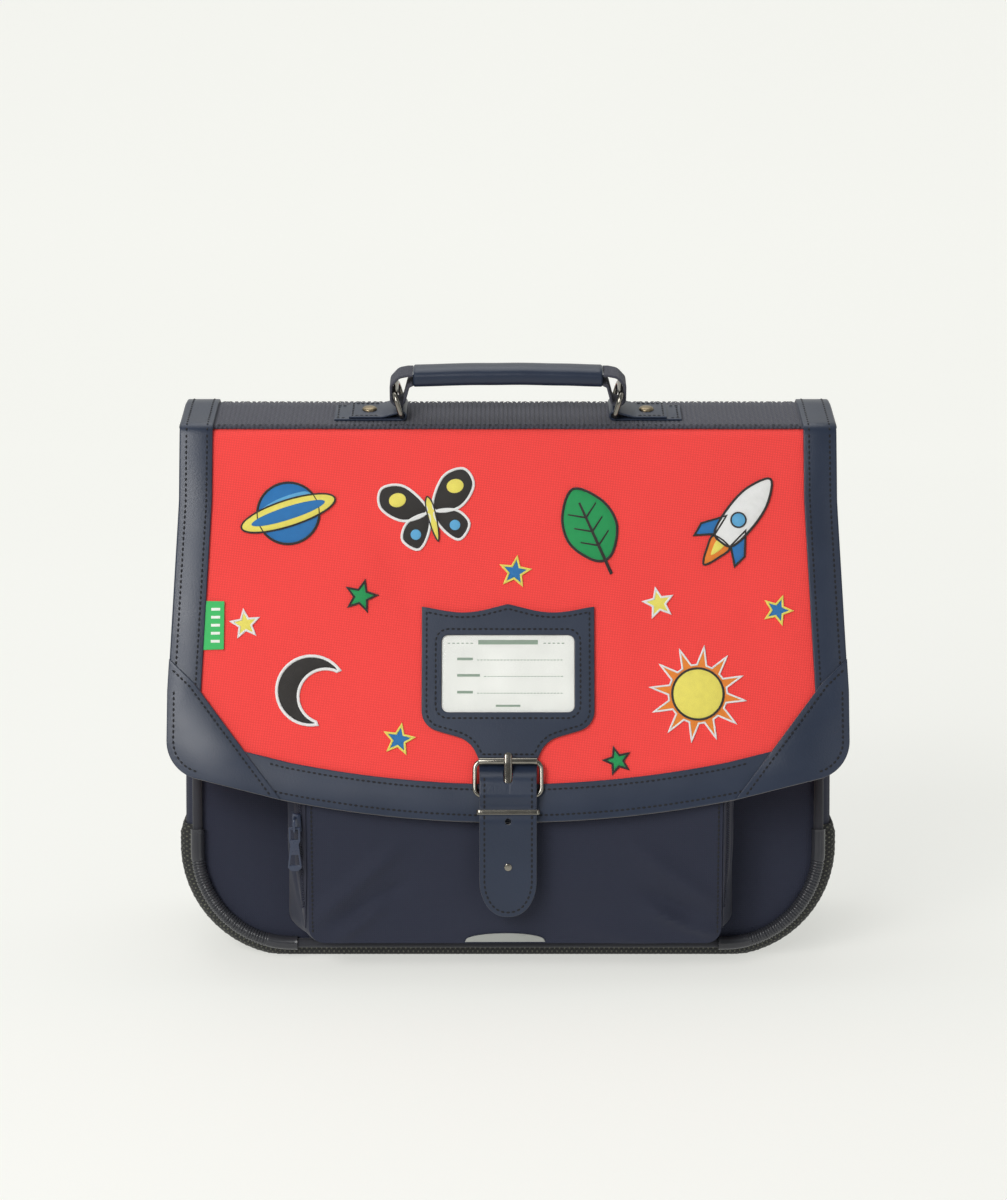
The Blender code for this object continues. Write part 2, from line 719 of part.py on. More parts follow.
def make_patches():
    low = GAP + LEATHER + GAP
    outline = [(x, v) for x, v in flap_corner_outline() if x > PATCH_FOOT_X - 0.1 and v > FLAP_WIDEN_TO]
    outer = [(flap_side_half(PATCH_TOP), PATCH_TOP)] + outline
    for side, name in ((-1, "corner_patch_left"), (1, "corner_patch_right")):
        shape = [(side * x, v) for x, v in outer + list(PATCH_INNER)]
        prism(name, shape, flap_place, low, low + LEATHER, "navy_leather")


def make_webbing():
    half = FLAP_TOP_HALF + WEBBING_PROUD
    rings = []
    for drop in flap_rows(WEBBING_FRONT - WEBBING_DEPTH, WEBBING_FRONT):
        high = GAP + WEBBING_THICKNESS
        rings.append([flap_point(-half, drop, GAP), flap_point(half, drop, GAP),
                      flap_point(half, drop, high), flap_point(-half, drop, high)])
    loft("webbing_strip", rings, "slate_webbing")


def make_tag():
    high = BAND_WIDTH - flap_side_half(TAG_TOP)
    low = BAND_WIDTH - flap_side_half(TAG_FOOT)
    shape = [(high + TAG_CLEAR, TAG_TOP), (high + TAG_OUT, TAG_TOP), (low + TAG_OUT, TAG_FOOT),
             (low + TAG_CLEAR, TAG_FOOT)]
    prism("side_tag", shape, flap_place, GAP, GAP + TAG_THICKNESS, "green_weave")


# Name holder, strap and buckle

def holder_outline():
    half = HOLDER_HALF
    left = [(0.0, HOLDER_TOP - 1.5), (-half * 0.2, HOLDER_TOP + 1.4), (-half * 0.5, HOLDER_TOP + 3.3),
            (-half * 0.8, HOLDER_TOP + 1.8), (-half, HOLDER_TOP), (-half, HOLDER_SHOULDER),
            (-half * 0.95, HOLDER_SHOULDER + 6.5), (-half * 0.85, HOLDER_SHOULDER + 10.2),
            (-half * 0.57, HOLDER_SHOULDER + 14.2), (-half * 0.44, HOLDER_SHOULDER + 17.4),
            (-half * 0.355, HOLDER_SHOULDER + 22.0), (-STRAP_HALF, HOLDER_NECK)]
    return left + [(-x, v) for x, v in reversed(left[1:])]


def strap_path():
    """Side view (y, z) of the strap's middle, from inside the shield's neck to its tip."""
    seat = GAP + HOLDER_THICKNESS / 2
    heel = buckle_lift() + BUCKLE_THICKNESS + GAP + PRONG_THICKNESS + 2 * GAP + STRAP_THICKNESS / 2
    keeper = keeper_seat() + KEEPER_WIRE + GAP + STRAP_THICKNESS / 2
    knots = ((HOLDER_NECK - 4.0, seat, 0), (BUCKLE_TOP + 3.8, seat, 5.0),
             (BUCKLE_TOP + 11.6, heel - 0.6, 7.0), (BUCKLE_FOOT - 1.0, heel, 5.0),
             (KEEPER_DROP - 4.0, keeper, 5.0))
    corners = [(*flap_point(0.0, drop, lift)[1:], radius) for drop, lift, radius in knots]
    corners.append((*flap_point(0.0, KEEPER_DROP + 5.0, keeper)[1:], 14.0))
    corners.append((STRAP_TIP_Y, STRAP_TIP, 0))
    return rounded_path(corners, step=14.0)


def strap_half(z):
    if z >= STRAP_ROUND_FROM:
        return STRAP_HALF
    share = (STRAP_ROUND_FROM - z) / (STRAP_ROUND_FROM - STRAP_TIP)
    return STRAP_HALF * math.sqrt(max(0.0, 1.0 - share ** 2)) + 1.5 * share


def make_holder_strap():
    holder = prism("name_holder_strap", holder_outline(), flap_place, GAP, GAP + HOLDER_THICKNESS,
                   "navy_leather")
    path = strap_path()
    hanging_from = Vector(path[-2])
    tip = Vector(path[-1])
    rounding = [STRAP_ROUND_FROM - (STRAP_ROUND_FROM - STRAP_TIP) * share
                for share in (0.0, 0.3, 0.55, 0.75, 0.9, 0.98)]
    low = [tuple(hanging_from.lerp(tip, (hanging_from.y - z) / (hanging_from.y - tip.y))) for z in rounding]
    path = path[:-1] + low + [tuple(tip)]
    rings = []
    for i, (y, z) in enumerate(path):
        ahead = Vector(path[min(i + 1, len(path) - 1)])
        behind = Vector(path[max(i - 1, 0)])
        normal = outward_normal(behind, ahead)
        half = strap_half(z)
        edges = ((-half, -1), (half, -1), (half, 1), (-half, 1))
        rings.append([(x, y + normal.x * side * STRAP_THICKNESS / 2, z + normal.y * side * STRAP_THICKNESS / 2)
                      for x, side in edges])
    strap = loft("strap_helper", rings, "navy_leather")
    combine(holder, strap, "UNION")
    window = rounded_box(WINDOW_HALF, WINDOW_TOP, WINDOW_FOOT, WINDOW_CORNER)
    slot = rounded_box(SLOT_HALF, SLOT_TOP, SLOT_FOOT, 2.0, step=45.0)
    combine(holder, prism("window_cutter", window, flap_place, -3.0, 6.0, None), "DIFFERENCE")
    combine(holder, prism("slot_cutter", slot, flap_place, -1.0, 16.0, None), "DIFFERENCE")
    hole = arc((0.0, STRAP_HOLE_Z), STRAP_HOLE_RADIUS, 0.0, 315.0, 7)
    drill = prism("hole_cutter", hole, strap_face, -8.0, 8.0, None)
    combine(holder, drill, "DIFFERENCE")
    disc = arc((0.0, EYELET_Z), EYELET_RADIUS, 0.0, 330.0, 11)
    front = STRAP_THICKNESS / 2 + GAP
    prism("strap_eyelet", disc, strap_face, front, front + EYELET_HEIGHT, "gunmetal")


def strap_face(x, z, out):
    """A point of the hanging strap, out towards the front from its middle."""
    path = strap_path()
    top = Vector(path[-2])
    tip = Vector(path[-1])
    share = (top.y - z) / (top.y - tip.y)
    return (x, top.x + (tip.x - top.x) * share - out, z)


def make_card():
    card = rounded_box(WINDOW_HALF - CARD_INSET, WINDOW_TOP + CARD_INSET, WINDOW_FOOT - CARD_INSET,
                       WINDOW_CORNER)
    prism("name_card", card, flap_place, GAP, GAP + CARD_THICKNESS, "card")
    low = GAP + CARD_THICKNESS + GAP
    prism("window_film", card, flap_place, low, low + FILM_THICKNESS, "film")


def chape_lift():
    return GAP + LEATHER + GAP


def buckle_lift():
    return chape_lift() + TAB_THICKNESS + GAP


def keeper_seat():
    return buckle_lift()


def frame_ring(name, outer, inner, to_world, low, high, finish_name):
    """A flat ring between two outlines of as many points."""
    rings = [[to_world(*a, low), to_world(*a, high), to_world(*b, high), to_world(*b, low)]
             for a, b in zip(outer, inner)]
    return loft(name, rings, finish_name, closed=True)


def make_buckle():
    low = buckle_lift()
    high = low + BUCKLE_THICKNESS
    outer = rounded_box(BUCKLE_HALF, BUCKLE_TOP, BUCKLE_FOOT, BUCKLE_CORNER)
    inner = rounded_box(BUCKLE_HALF - BUCKLE_BAR, BUCKLE_TOP + BUCKLE_TOP_BAR, BUCKLE_FOOT - BUCKLE_BAR,
                        BUCKLE_INNER_CORNER)
    frame_ring("buckle_frame", outer, inner, flap_place, low, high, "gunmetal")
    axis_drop = BUCKLE_TOP + BUCKLE_TOP_BAR / 2
    roller_half = BUCKLE_HALF - BUCKLE_BAR - BUCKLE_INNER_CORNER - GAP
    axis_lift = low + BUCKLE_THICKNESS / 2
    rings = []
    for radius in (ROLLER_RADIUS, ROLLER_BORE):
        for x in (-roller_half, roller_half):
            rings.append([flap_point(x, axis_drop + a, axis_lift + b)
                          for a, b in arc((0, 0), radius, 0.0, 330.0, 11)])
    order = (rings[0], rings[1], rings[3], rings[2])
    loft("buckle_roller", order, "gunmetal", closed=True)
    prong_low = high + GAP + PRONG_THICKNESS / 2
    rest = axis_lift + ROLLER_RADIUS + GAP + PRONG_THICKNESS / 2
    knots = ((BUCKLE_FOOT - 0.4, prong_low), (SLOT_TOP + 2.7, prong_low + 0.5),
             (axis_drop, rest), (PRONG_TIP, rest - 0.1))
    rings = []
    for drop, lift in knots:
        half = PRONG_HALF if drop > PRONG_TIP else PRONG_HALF * 0.8
        edges = ((-half, -1), (half, -1), (half, 1), (-half, 1))
        rings.append([flap_point(x, drop, lift + side * PRONG_THICKNESS / 2) for x, side in edges])
    loft("buckle_prong", rings, "gunmetal")
    prism("buckle_chape", rounded_box(CHAPE_HALF, CHAPE_TOP, CHAPE_FOOT, 1.5, step=45.0), flap_place,
          chape_lift(), chape_lift() + TAB_THICKNESS, "navy_leather")
    make_keeper()


def make_keeper():
    low = keeper_seat()
    inner_high = low + KEEPER_WIRE + GAP + STRAP_THICKNESS + GAP
    half = STRAP_HALF + 0.5
    wire = KEEPER_WIRE
    outer = rounded_box(half + wire, low, inner_high + wire, 1.8, step=45.0)
    inner = rounded_box(half, low + wire, inner_high, 0.6, step=45.0)

    def to_world(x, lift, along):
        return flap_point(x, KEEPER_DROP + along, lift)

    frame_ring("strap_keeper", outer, inner, to_world, -KEEPER_WIDTH / 2, KEEPER_WIDTH / 2, "gunmetal")


# Handle

def handle_place(x, along, rise):
    """A point over the flap's sloping top: along runs up the slope to the back, rise stands on it."""
    slope = math.atan2(CROWN_Z - FOLD_Z, CROWN_Y - FOLD_Y)
    seat_z = FOLD_Z + (HANDLE_Y - FOLD_Y) * math.tan(slope)
    return (x, HANDLE_Y + along * math.cos(slope) - rise * math.sin(slope),
            seat_z + along * math.sin(slope) + rise * math.cos(slope))


def strip(name, path, half, thickness, finish_name):
    """A flat strip across the handle's plane that follows a side view path of (x, rise)."""
    rings = []
    for i, (x, rise) in enumerate(path):
        ahead = Vector(path[min(i + 1, len(path) - 1)])
        behind = Vector(path[max(i - 1, 0)])
        along = (ahead - behind).normalized()
        normal = Vector((-along.y, along.x)) * thickness / 2
        rings.append([handle_place(x + side * normal.x, width, rise + side * normal.y)
                      for width, side in ((-half, -1), (half, -1), (half, 1), (-half, 1))])
    return loft(name, rings, finish_name)


def tab_seat():
    """The handle's leather tabs lie on the webbing."""
    return GAP + WEBBING_THICKNESS + GAP


def ring_bar_rise():
    return tab_seat() + TAB_THICKNESS + GAP + RING_WIRE


def make_handle():
    rings = []
    for share, size in ((-1.0, 0.8), (-0.975, 1.0), (-0.5, 1.0), (0.0, 1.0), (0.5, 1.0), (0.975, 1.0),
                        (1.0, 0.8)):
        section = rounded_box(GRIP_DEPTH / 2 * size, -GRIP_HEIGHT / 2 * size, GRIP_HEIGHT / 2 * size,
                              4.6 * size)
        rise = GRIP_RISE + GRIP_ARCH * (1.0 - share ** 2)
        rings.append([handle_place(GRIP_HALF * share, a, rise + b) for a, b in section])
    loft("handle_grip", rings, "navy_leather")
    tab_low = tab_seat()
    bar_rise = ring_bar_rise()
    for side, label in ((-1, "left"), (1, "right")):
        make_loop(side, "handle_loop_" + label)
        make_ring(side, "d_ring_" + label, bar_rise)
        make_tab(side, "handle_tab_" + label, tab_low, bar_rise)
        make_rivet(side, "rivet_" + label, tab_low)


def make_loop(side, name):
    """Webbing from the grip's end, out round the ring's top and back under to the grip."""
    top = GRIP_RISE + GRIP_HEIGHT * 0.25
    foot = GRIP_RISE - GRIP_HEIGHT * 0.25
    start = GRIP_HALF + GAP
    ring_top = ring_bar_rise() + RING_HEIGHT
    snug = RING_X + RING_LEAN + RING_WIRE + GAP + LOOP_THICKNESS / 2
    corners = ((start, top, 0), (start + 3.0, top, 2.0), (start + 8.0, top - 1.0, 5.0),
               (snug, ring_top + 4.0, 3.0), (snug, ring_top - 8.8, 4.0),
               (start + 5.5, ring_top - 7.4, 3.5), (start + 2.6, foot - 1.2, 2.0), (start, foot, 0))
    path = rounded_path(corners, step=20.0)
    strip(name, [(side * x, rise) for x, rise in path], LOOP_HALF, LOOP_THICKNESS, "slate_webbing")


def make_ring(side, name, bar_rise):
    """D shape standing in the tab's fold, its plane leaning outward."""
    outline = rounded_path(((-RING_HALF, 0.0, RING_CORNER * 0.5), (RING_HALF, 0.0, RING_CORNER * 0.5),
                            (RING_HALF, RING_HEIGHT, RING_CORNER), (-RING_HALF, RING_HEIGHT, RING_CORNER)),
                           cyclic=True, step=30.0)
    points = [handle_place(side * (RING_X + RING_LEAN * up / RING_HEIGHT), across, bar_rise + up)
              for across, up in outline]
    tube(name, points, RING_WIRE, "gunmetal", resolution=2, cyclic=True)


def make_tab(side, name, low, bar_rise):
    """Leather folded round the ring's bar, the upper layer pinched down towards the rivet."""
    lower = low + TAB_THICKNESS / 2
    upper = lower + TAB_THICKNESS + GAP
    turn = RING_WIRE + GAP + TAB_THICKNESS / 2
    fold = arc((RING_X, bar_rise), turn, 270.0, 90.0, 6)
    path = [(TAB_OUT, lower)] + fold + [(TAB_PINCH, upper), (TAB_TOP_OUT, upper)]
    strip(name, [(side * x, rise) for x, rise in path], TAB_HALF, TAB_THICKNESS, "navy_leather")


def make_rivet(side, name, tab_low):
    seat = tab_low + 2 * TAB_THICKNESS + 2 * GAP
    rings = []
    for radius, rise in ((1.0, 0.0), (1.0, 0.35), (0.8, 0.8), (0.35, 1.0)):
        rings.append([handle_place(side * RIVET_X + a, b, seat + RIVET_HEIGHT * rise)
                      for a, b in arc((0, 0), RIVET_RADIUS * radius, 0.0, 330.0, 11)])
    loft(name, rings, "old_brass")


# Back

def make_back_pad():
    start = BACK_Y + GAP
    rings = []
    for out, inset in ((0.0, 0.0), (0.55, 0.0), (0.88, 4.0), (1.0, 12.0)):
        outline = rounded_box(PAD_HALF - inset, PAD_FOOT + inset, PAD_TOP - inset, PAD_CORNER - inset)
        rings.append([(x, start + PAD_THICKNESS * out, z) for x, z in outline])
    loft("back_pad", rings, "navy_fabric")


def carry_path():
    """Middle of a padded shoulder strap in (x, y, z), from the pad's top to its lower end."""
    seat = BACK_Y + GAP + PAD_THICKNESS + GAP + CARRY_THICKNESS / 2
    # Share of the strap's height, share of its stand-off, share of its sideways run
    table = ((0.0, 0.03, 0.0), (0.1, 0.12, 0.0), (0.24, 0.62, 0.03), (0.42, 0.95, 0.12), (0.6, 1.0, 0.32),
             (0.8, 0.78, 0.66), (1.0, 0.42, 1.0))
    top = PAD_TOP - 16.0
    return [Vector((CARRY_TOP_X + (CARRY_FOOT_X - CARRY_TOP_X) * run, seat + CARRY_OUT * off,
                    top + (CARRY_FOOT - top) * down)) for down, off, run in table]


def ribbon(name, points, across_of, width, thickness, finish_name, side, rounded=0.0):
    """A flat band along points; across_of gives its width direction at each."""
    rings = []
    for i, point in enumerate(points):
        along = (points[min(i + 1, len(points) - 1)] - points[max(i - 1, 0)]).normalized()
        across = across_of(i)
        across = (across - along * across.dot(along)).normalized()
        normal = along.cross(across).normalized()
        w, t = width / 2, thickness / 2
        r = rounded
        section = ((-w, -t + r), (-w + r, -t), (w - r, -t), (w, -t + r), (w, t - r), (w - r, t),
                   (-w + r, t), (-w, t - r)) if rounded else ((-w, -t), (w, -t), (w, t), (-w, t))
        ring = [point + across * a + normal * b for a, b in section]
        rings.append([(p.x * side, p.y, p.z) for p in ring])
    return loft(name, rings, finish_name)


def anchor_z():
    """The webbing anchors sit just above the base cloth."""
    return COVER_TOP + GAP + SIDE_WEBBING / 2


def strap_end():
    """Lower end of the padded strap: its place, and the directions along, across and out of it."""
    path = carry_path()
    along = (path[-1] - path[-2]).normalized()
    across = CARRY_ACROSS - along * along.dot(CARRY_ACROSS)
    across.normalize()
    return path[-1], along, across, along.cross(across)


def side_webbing_path():
    place, along, _, _ = strap_end()
    end = place + along * (ADJUSTER_HEIGHT + 3 * GAP)
    corner_y = BACK_Y + 2 * PIPING_RADIUS + GAP + SIDE_WEBBING_THICKNESS + 2.0
    outer = BODY_HALF_WIDTH + ANCHOR_THICKNESS + GAP + 1.0
    rise = anchor_z()
    return [Vector(p) for p in (
        tuple(end), tuple(end + along * 9.0), (end.x + 32.0, (end.y + corner_y) / 2, rise - 17.0),
        (BODY_HALF_WIDTH - 30.0, corner_y + 1.0, rise - 4.0), (BODY_HALF_WIDTH - 8.0, corner_y, rise),
        (outer, corner_y - 9.0, rise), (outer + 0.6, corner_y - 22.0, rise),
        (outer, ANCHOR_Y + ANCHOR_LENGTH / 2 - 8.0, rise))]


def make_shoulder_straps():
    carry = carry_path()
    side_path = side_webbing_path()
    half = ADJUSTER_THICKNESS / 2
    end, along, across, normal = strap_end()
    middle = end + along * (ADJUSTER_HEIGHT / 2 + GAP)
    for side, label in ((-1, "left"), (1, "right")):
        ribbon("shoulder_strap_" + label, carry, lambda _i: CARRY_ACROSS, CARRY_WIDTH,
               CARRY_THICKNESS, "navy_fabric", side, rounded=2.5)
        upright = Vector((0.0, 0.0, 1.0))
        ribbon("strap_webbing_" + label, side_path,
               lambda i: across.lerp(upright, min(1.0, max(0, i - 1) / 2.0)),
               SIDE_WEBBING, SIDE_WEBBING_THICKNESS, "slate_webbing", side)
        base = BODY_HALF_WIDTH - COVER_THICKNESS
        plate = rounded_box(ANCHOR_LENGTH / 2, -SIDE_WEBBING / 2, SIDE_WEBBING / 2, 3.0, step=45.0)

        def on_gusset(along, up, out, side=side, base=base):
            return (side * (base + out), ANCHOR_Y + along, anchor_z() + up)

        prism("strap_anchor_" + label, plate, on_gusset, 0.0, ANCHOR_THICKNESS, "slate_webbing")
        def on_strap(a, b, out, side=side):
            point = middle + across * a + along * b + normal * out
            return (side * point.x, point.y, point.z)

        outer = rounded_box(ADJUSTER_WIDTH / 2, -ADJUSTER_HEIGHT / 2, ADJUSTER_HEIGHT / 2, 3.0)
        inner = rounded_box(ADJUSTER_WIDTH / 2 - 4.0, -ADJUSTER_HEIGHT / 2 + 4.5,
                            ADJUSTER_HEIGHT / 2 - 4.5, 1.0)
        frame_ring("strap_adjuster_" + label, outer, inner, on_strap, -half, half, "grey_plastic")


def make_reflector():
    half = 23.0
    outline = [(-half, POCKET_FOOT + 1.5), (half, POCKET_FOOT + 1.5), (half * 0.6, POCKET_FOOT + 4.0),
               (0.0, POCKET_FOOT + 5.2), (-half * 0.6, POCKET_FOOT + 4.0)]

    def on_pocket(x, z, out):
        return (x - 1.7, pocket_front_y(z) - out, z)

    prism("reflective_tab", outline, on_pocket, GAP, GAP + 0.7, "silver_reflector")


def build():
    clear_scene()
    make_body()
    make_piping()
    make_pocket()
    make_reflector()
    make_zips()
    make_flap_panel()
    make_bands()
    make_patches()
    make_webbing()
    make_tag()
    make_holder_strap()
    make_card()
    make_buckle()
    make_handle()
    make_back_pad()
    make_shoulder_straps()


build()
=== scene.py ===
import math
import bisect

import bmesh
import bpy
import numpy as np
from mathutils import Matrix, Vector, noise


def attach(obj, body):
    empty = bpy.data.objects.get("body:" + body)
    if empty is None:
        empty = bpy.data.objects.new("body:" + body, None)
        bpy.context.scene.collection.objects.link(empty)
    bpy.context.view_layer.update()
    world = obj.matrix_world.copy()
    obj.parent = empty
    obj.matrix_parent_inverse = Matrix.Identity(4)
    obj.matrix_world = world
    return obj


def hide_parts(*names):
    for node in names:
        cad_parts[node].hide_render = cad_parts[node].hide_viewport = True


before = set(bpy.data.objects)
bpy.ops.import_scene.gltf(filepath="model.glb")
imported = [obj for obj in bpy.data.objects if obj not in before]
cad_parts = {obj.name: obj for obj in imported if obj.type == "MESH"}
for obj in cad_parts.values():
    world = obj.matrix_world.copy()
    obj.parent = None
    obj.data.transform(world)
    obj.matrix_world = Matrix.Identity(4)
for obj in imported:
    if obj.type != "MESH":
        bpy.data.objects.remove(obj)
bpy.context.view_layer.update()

# Sizes are in millimetres, as in the bag's construction, and become metres when a mesh is made
MM = 0.001
GAP = 0.3

# Body
HALF_WIDTH = 190.0
CORNER = 64.0
RIM = 288.0
WALL = 2.5
FRONT_FOOT_Y = -63.0
FRONT_LEAN = 0.117
BACK_Y = 64.0
DEPTH = BACK_Y - FRONT_FOOT_Y
BOW = 9.5
BOW_EASE = 0.07  # share of the depth over which the gusset bows out from a seam
COVER = 1.5
COVER_TOP = 77.0
COVER_MARGIN = 0.012  # share of the depth left bare at each seam
COVER_SWELL = 1.4
KNOB_PITCH = 3.5
KNOB_HEIGHT = 0.28
PIPING = 2.8
PIPING_TOP = 276.0
GUARD_TOP = 76.0
GUARD_REACH = 3.5
GUARD_WALL = 0.9
GUARD_RIB_PITCH = 1.7
GUARD_GROOVE = 0.13  # share of the radius
GUARD_PLAIN_END = 17.0
GUARD_LIP = (0.03, 1.2)  # share of the radius, and length

# Pocket and zip
POCKET_FRONT_Y = -93.0
# Half width of the pocket at each seam, and its shift to the right
POCKET_SEAMS = {"back": (129.0, 1.5), "shoulder": (127.5, 1.5), "front": (118.0, 4.0)}
POCKET_BEVEL = 13.5
POCKET_FOOT = 18.0
POCKET_TOP = 225.0
POCKET_CORNER = 9.0
POCKET_BEHIND_FLAP = 2.0
POCKET_PINCH = 0.055  # share of its half width by which the shoulder seam draws in
PINCH_RISE = 56.0
POCKET_SHOWS = 110.0  # height of the face below the flap
POCKET_FLAT_FROM = 78.0  # height from which the flap holds the face flat
POCKET_SEAM_INSET = 2.2
ZIP_PLACE = 0.7
ZIP_FOOT = 30.0
ZIP_TOP = 200.0
ZIP_TAPER = 34.0  # length over which the tape narrows to its foot
TOOTH_PITCH = 1.35
TOOTH = (2.5, 0.95, 1.15)  # length, thickness and height
TOOTH_PLACE = (0.75, 0.68, 1.35)  # off the middle, rise of one hand's teeth, height off the tape

# Flap
FLAP_THICKNESS = 2.0
FOLD = (-32.0, 305.6, 8.0)  # y, z and radius of the turn from the top down to the front
CROWN = (15.0, 317.0, 40.0)  # y, z and radius of the top's highest turn
BACK_TURN = (300.0, 10.0)  # z and radius of the turn down to the back
FLAP_TAIL_Z = 270.0
FLAP_FOOT = (-100.0, 91.5)  # y and z of the front's lower end
FLAP_TOP_HALF = 188.5
FLAP_LOW_HALF = 193.5
EDGE_CURL = 2.4  # how far the side edges bend back
CURL_FROM = 152.0
WIDEN_FROM = 40.0
WIDEN_TO = 150.0
EDGE_RISE = 29.0
FLAP_CORNER = 22.0
BAND = 18.7
BOTTOM_BAND = 21.5
BAND_SEAMS = (3.6, BAND - 3.2)
BOTTOM_SEAMS = (3.4, BOTTOM_BAND - 3.6)
PATCH_SEAMS = (3.2, 3.4)  # from the inner and the outer edge
LEATHER = 1.4
BAND_END = 181.0
PATCH_TOP = 132.0
PATCH_FOOT_X = 128.6
PATCH_INNER = ((147.0, 188.0), (178.8, 145.6))  # corners of its inner edge, across and down the flap
WEBBING_FRONT = -2.0
WEBBING_DEPTH = 45.0
WEBBING = 1.3
WEBBING_PROUD = 1.0
RIB_PITCH = 2.6
RIB_HEIGHT = 0.62
CROSS_RIB = (1.7, 0.34)  # half pitch and height

# Name holder, strap and buckle
HOLDER_HALF = 49.2
HOLDER_TOP = 102.1
HOLDER_SHOULDER = 161.6
HOLDER_NECK = 188.0
HOLDER = 1.8
HOLDER_SEAM = 2.8
WINDOW_SEAM = 3.4
WINDOW_HALF = 37.8
WINDOW = (118.4, 162.5, 3.7)  # its two ends down the flap, and its corners
STRAP_HALF = 16.2
STRAP_TIP = (-107.5, 37.9)  # y and z
STRAP_ROUND_FROM = 59.0
STRAP_HOLE_Z = 93.2
EYELET_Z = 67.0
SLOT = (195.6, 206.0)  # its two ends down the flap
BUCKLE_HALF = 20.2
BUCKLE = (189.6, 211.4)  # its two ends down the flap
BUCKLE_BAR = 2.6
BUCKLE_THICKNESS = 1.7
ROLLER_RADIUS = 2.2
PRONG_HALF = 2.3
PRONG = 1.4
PRONG_TIP = 186.2
KEEPER_DROP = 219.6
KEEPER_WIRE = 1.4
BEND_TURN = 0.004  # least turn of the strap, in radians, at which its flat piece is cut across
KEEPER_WIDTH = 2.8
CHAPE = (13.0, 206.0, 222.0)  # half width, and its two ends
TAB = 1.2

# Handle
HANDLE_Y = -9.5
GRIP_HALF = 54.7
GRIP = (18.0, 11.0)  # depth and height
GRIP_RISE = 25.3
LOOP_HALF = 8.5
LOOP = 1.4
RING_WIRE = 1.5
RING_X = 61.5
RING_LEAN = 3.6
RING_HEIGHT = 13.0
RING_HALF = 14.3
TAB_HALF = 12.0
TAB_OUT = 100.5
TAB_TOP_OUT = 92.0
TAB_PINCH = 73.0
RIVET_X = 80.5
RIVET = (4.3, 1.6)  # radius and height

# Back
PAD_HALF = 160.0
PAD = (28.0, 264.0, 10.0, 30.0)  # foot, top, thickness and corners
CARRY = (54.0, 8.0)  # width and thickness
CARRY_OUT = 30.0
CARRY_FOOT = 104.0
CARRY_X = (48.0, 96.0)  # at the top and at the foot
SIDE_WEBBING = (24.0, 1.5)  # width and thickness
ANCHOR_Y = 24.0
ADJUSTER_HEIGHT = 18.0

# Room
FLOOR_GLOW = 0.57
FAR_GLOW = 0.73  # glow of the floor and wall 3 m behind the bag, as the camera sees it
FRONT_GLOW = 0.08  # glow of the floor 1.1 m before the bag, as other surfaces see it
CAMERA_PLACE = (-0.0026, -1.705, 0.5167)
CAMERA_TILT = 79.5
CAMERA_LENS = 87.75

# Thread
STITCH_PITCH = 3.1
STITCH = (2.2, 1.23, 0.6)  # length, width and height
STITCH_PROUD = 0.05

UV = "cloth"
SIDES = ((-1, "left"), (1, "right"))


# Curves

def arc(centre, radius, start, end, steps):
    angles = [math.radians(start + (end - start) * i / steps) for i in range(steps + 1)]
    return [(centre[0] + radius * math.cos(a), centre[1] + radius * math.sin(a)) for a in angles]


def rounded_path(corners, cyclic=False, step=6.0):
    """A 2-D path through corners (a, b, radius), each turned as an arc."""
    count = len(corners)
    path = []
    for i, (a, b, radius) in enumerate(corners):
        here = Vector((a, b))
        if not radius or (not cyclic and i in (0, count - 1)):
            path.append((a, b))
            continue
        before = (Vector(corners[i - 1][:2]) - here).normalized()
        after = (Vector(corners[(i + 1) % count][:2]) - here).normalized()
        turn = math.pi - before.angle(after)
        reach = radius * math.tan(turn / 2)
        centre = here + (before + after).normalized() * (radius / math.cos(turn / 2))
        first = here + before * reach - centre
        side = math.copysign(1.0, (here + after * reach - centre).cross(first) * -1.0)
        steps = max(1, round(math.degrees(turn) / step))
        path += [tuple(centre + Matrix.Rotation(side * turn * k / steps, 2) @ first) for k in range(steps + 1)]
    return path


def rounded_box(half, low, high, radius, upper=None, step=18.0):
    """A closed outline with rounded corners; upper is the radius of the two at high."""
    upper = radius if upper is None else upper
    return rounded_path(((-half, low, radius), (half, low, radius), (half, high, upper), (-half, high, upper)),
                        cyclic=True, step=step)


def circle(radius, sides=40, centre=(0.0, 0.0)):
    return arc(centre, radius, 0.0, 360.0 - 360.0 / sides, sides - 1)


def between(table, at):
    if at <= table[0][0]:
        return table[0][1]
    for (a, low), (b, high) in zip(table, table[1:]):
        if at <= b:
            return low + (high - low) * (at - a) / (b - a)
    return table[-1][1]


def ease(value):
    value = max(0.0, min(1.0, value))
    return value * value * (3.0 - 2.0 * value)


def run_lengths(points):
    lengths = [0.0]
    for a, b in zip(points, points[1:]):
        lengths.append(lengths[-1] + (Vector(b) - Vector(a)).length)
    return lengths


def heading(points, i):
    """Direction of a path at one of its points."""
    return (Vector(points[min(i + 1, len(points) - 1)]) - Vector(points[max(i - 1, 0)])).normalized()


def spline_point(p0, p1, p2, p3, t):
    """A point of the smooth curve between p1 and p2, for t from 0 to 1."""
    return 0.5 * ((2 * p1) + (p2 - p0) * t + (2 * p0 - 5 * p1 + 4 * p2 - p3) * t ** 2
                  + (3 * p1 - p0 - 3 * p2 + p3) * t ** 3)


def spaced(line, pitch, closed=False):
    """Places along a line about a pitch apart, with the direction there."""
    points = [Vector(p) for p in line]
    if closed:
        points.append(points[0])
    lengths = run_lengths(points)
    count = max(2, round(lengths[-1] / pitch))
    found = []
    for k in range(count):
        at = (k + 0.5) * lengths[-1] / count
        i = min(bisect.bisect_right(lengths, at) - 1, len(points) - 2)
        step = points[i + 1] - points[i]
        found.append((points[i] + step * ((at - lengths[i]) / (step.length or 1.0)), step.normalized()))
    return found


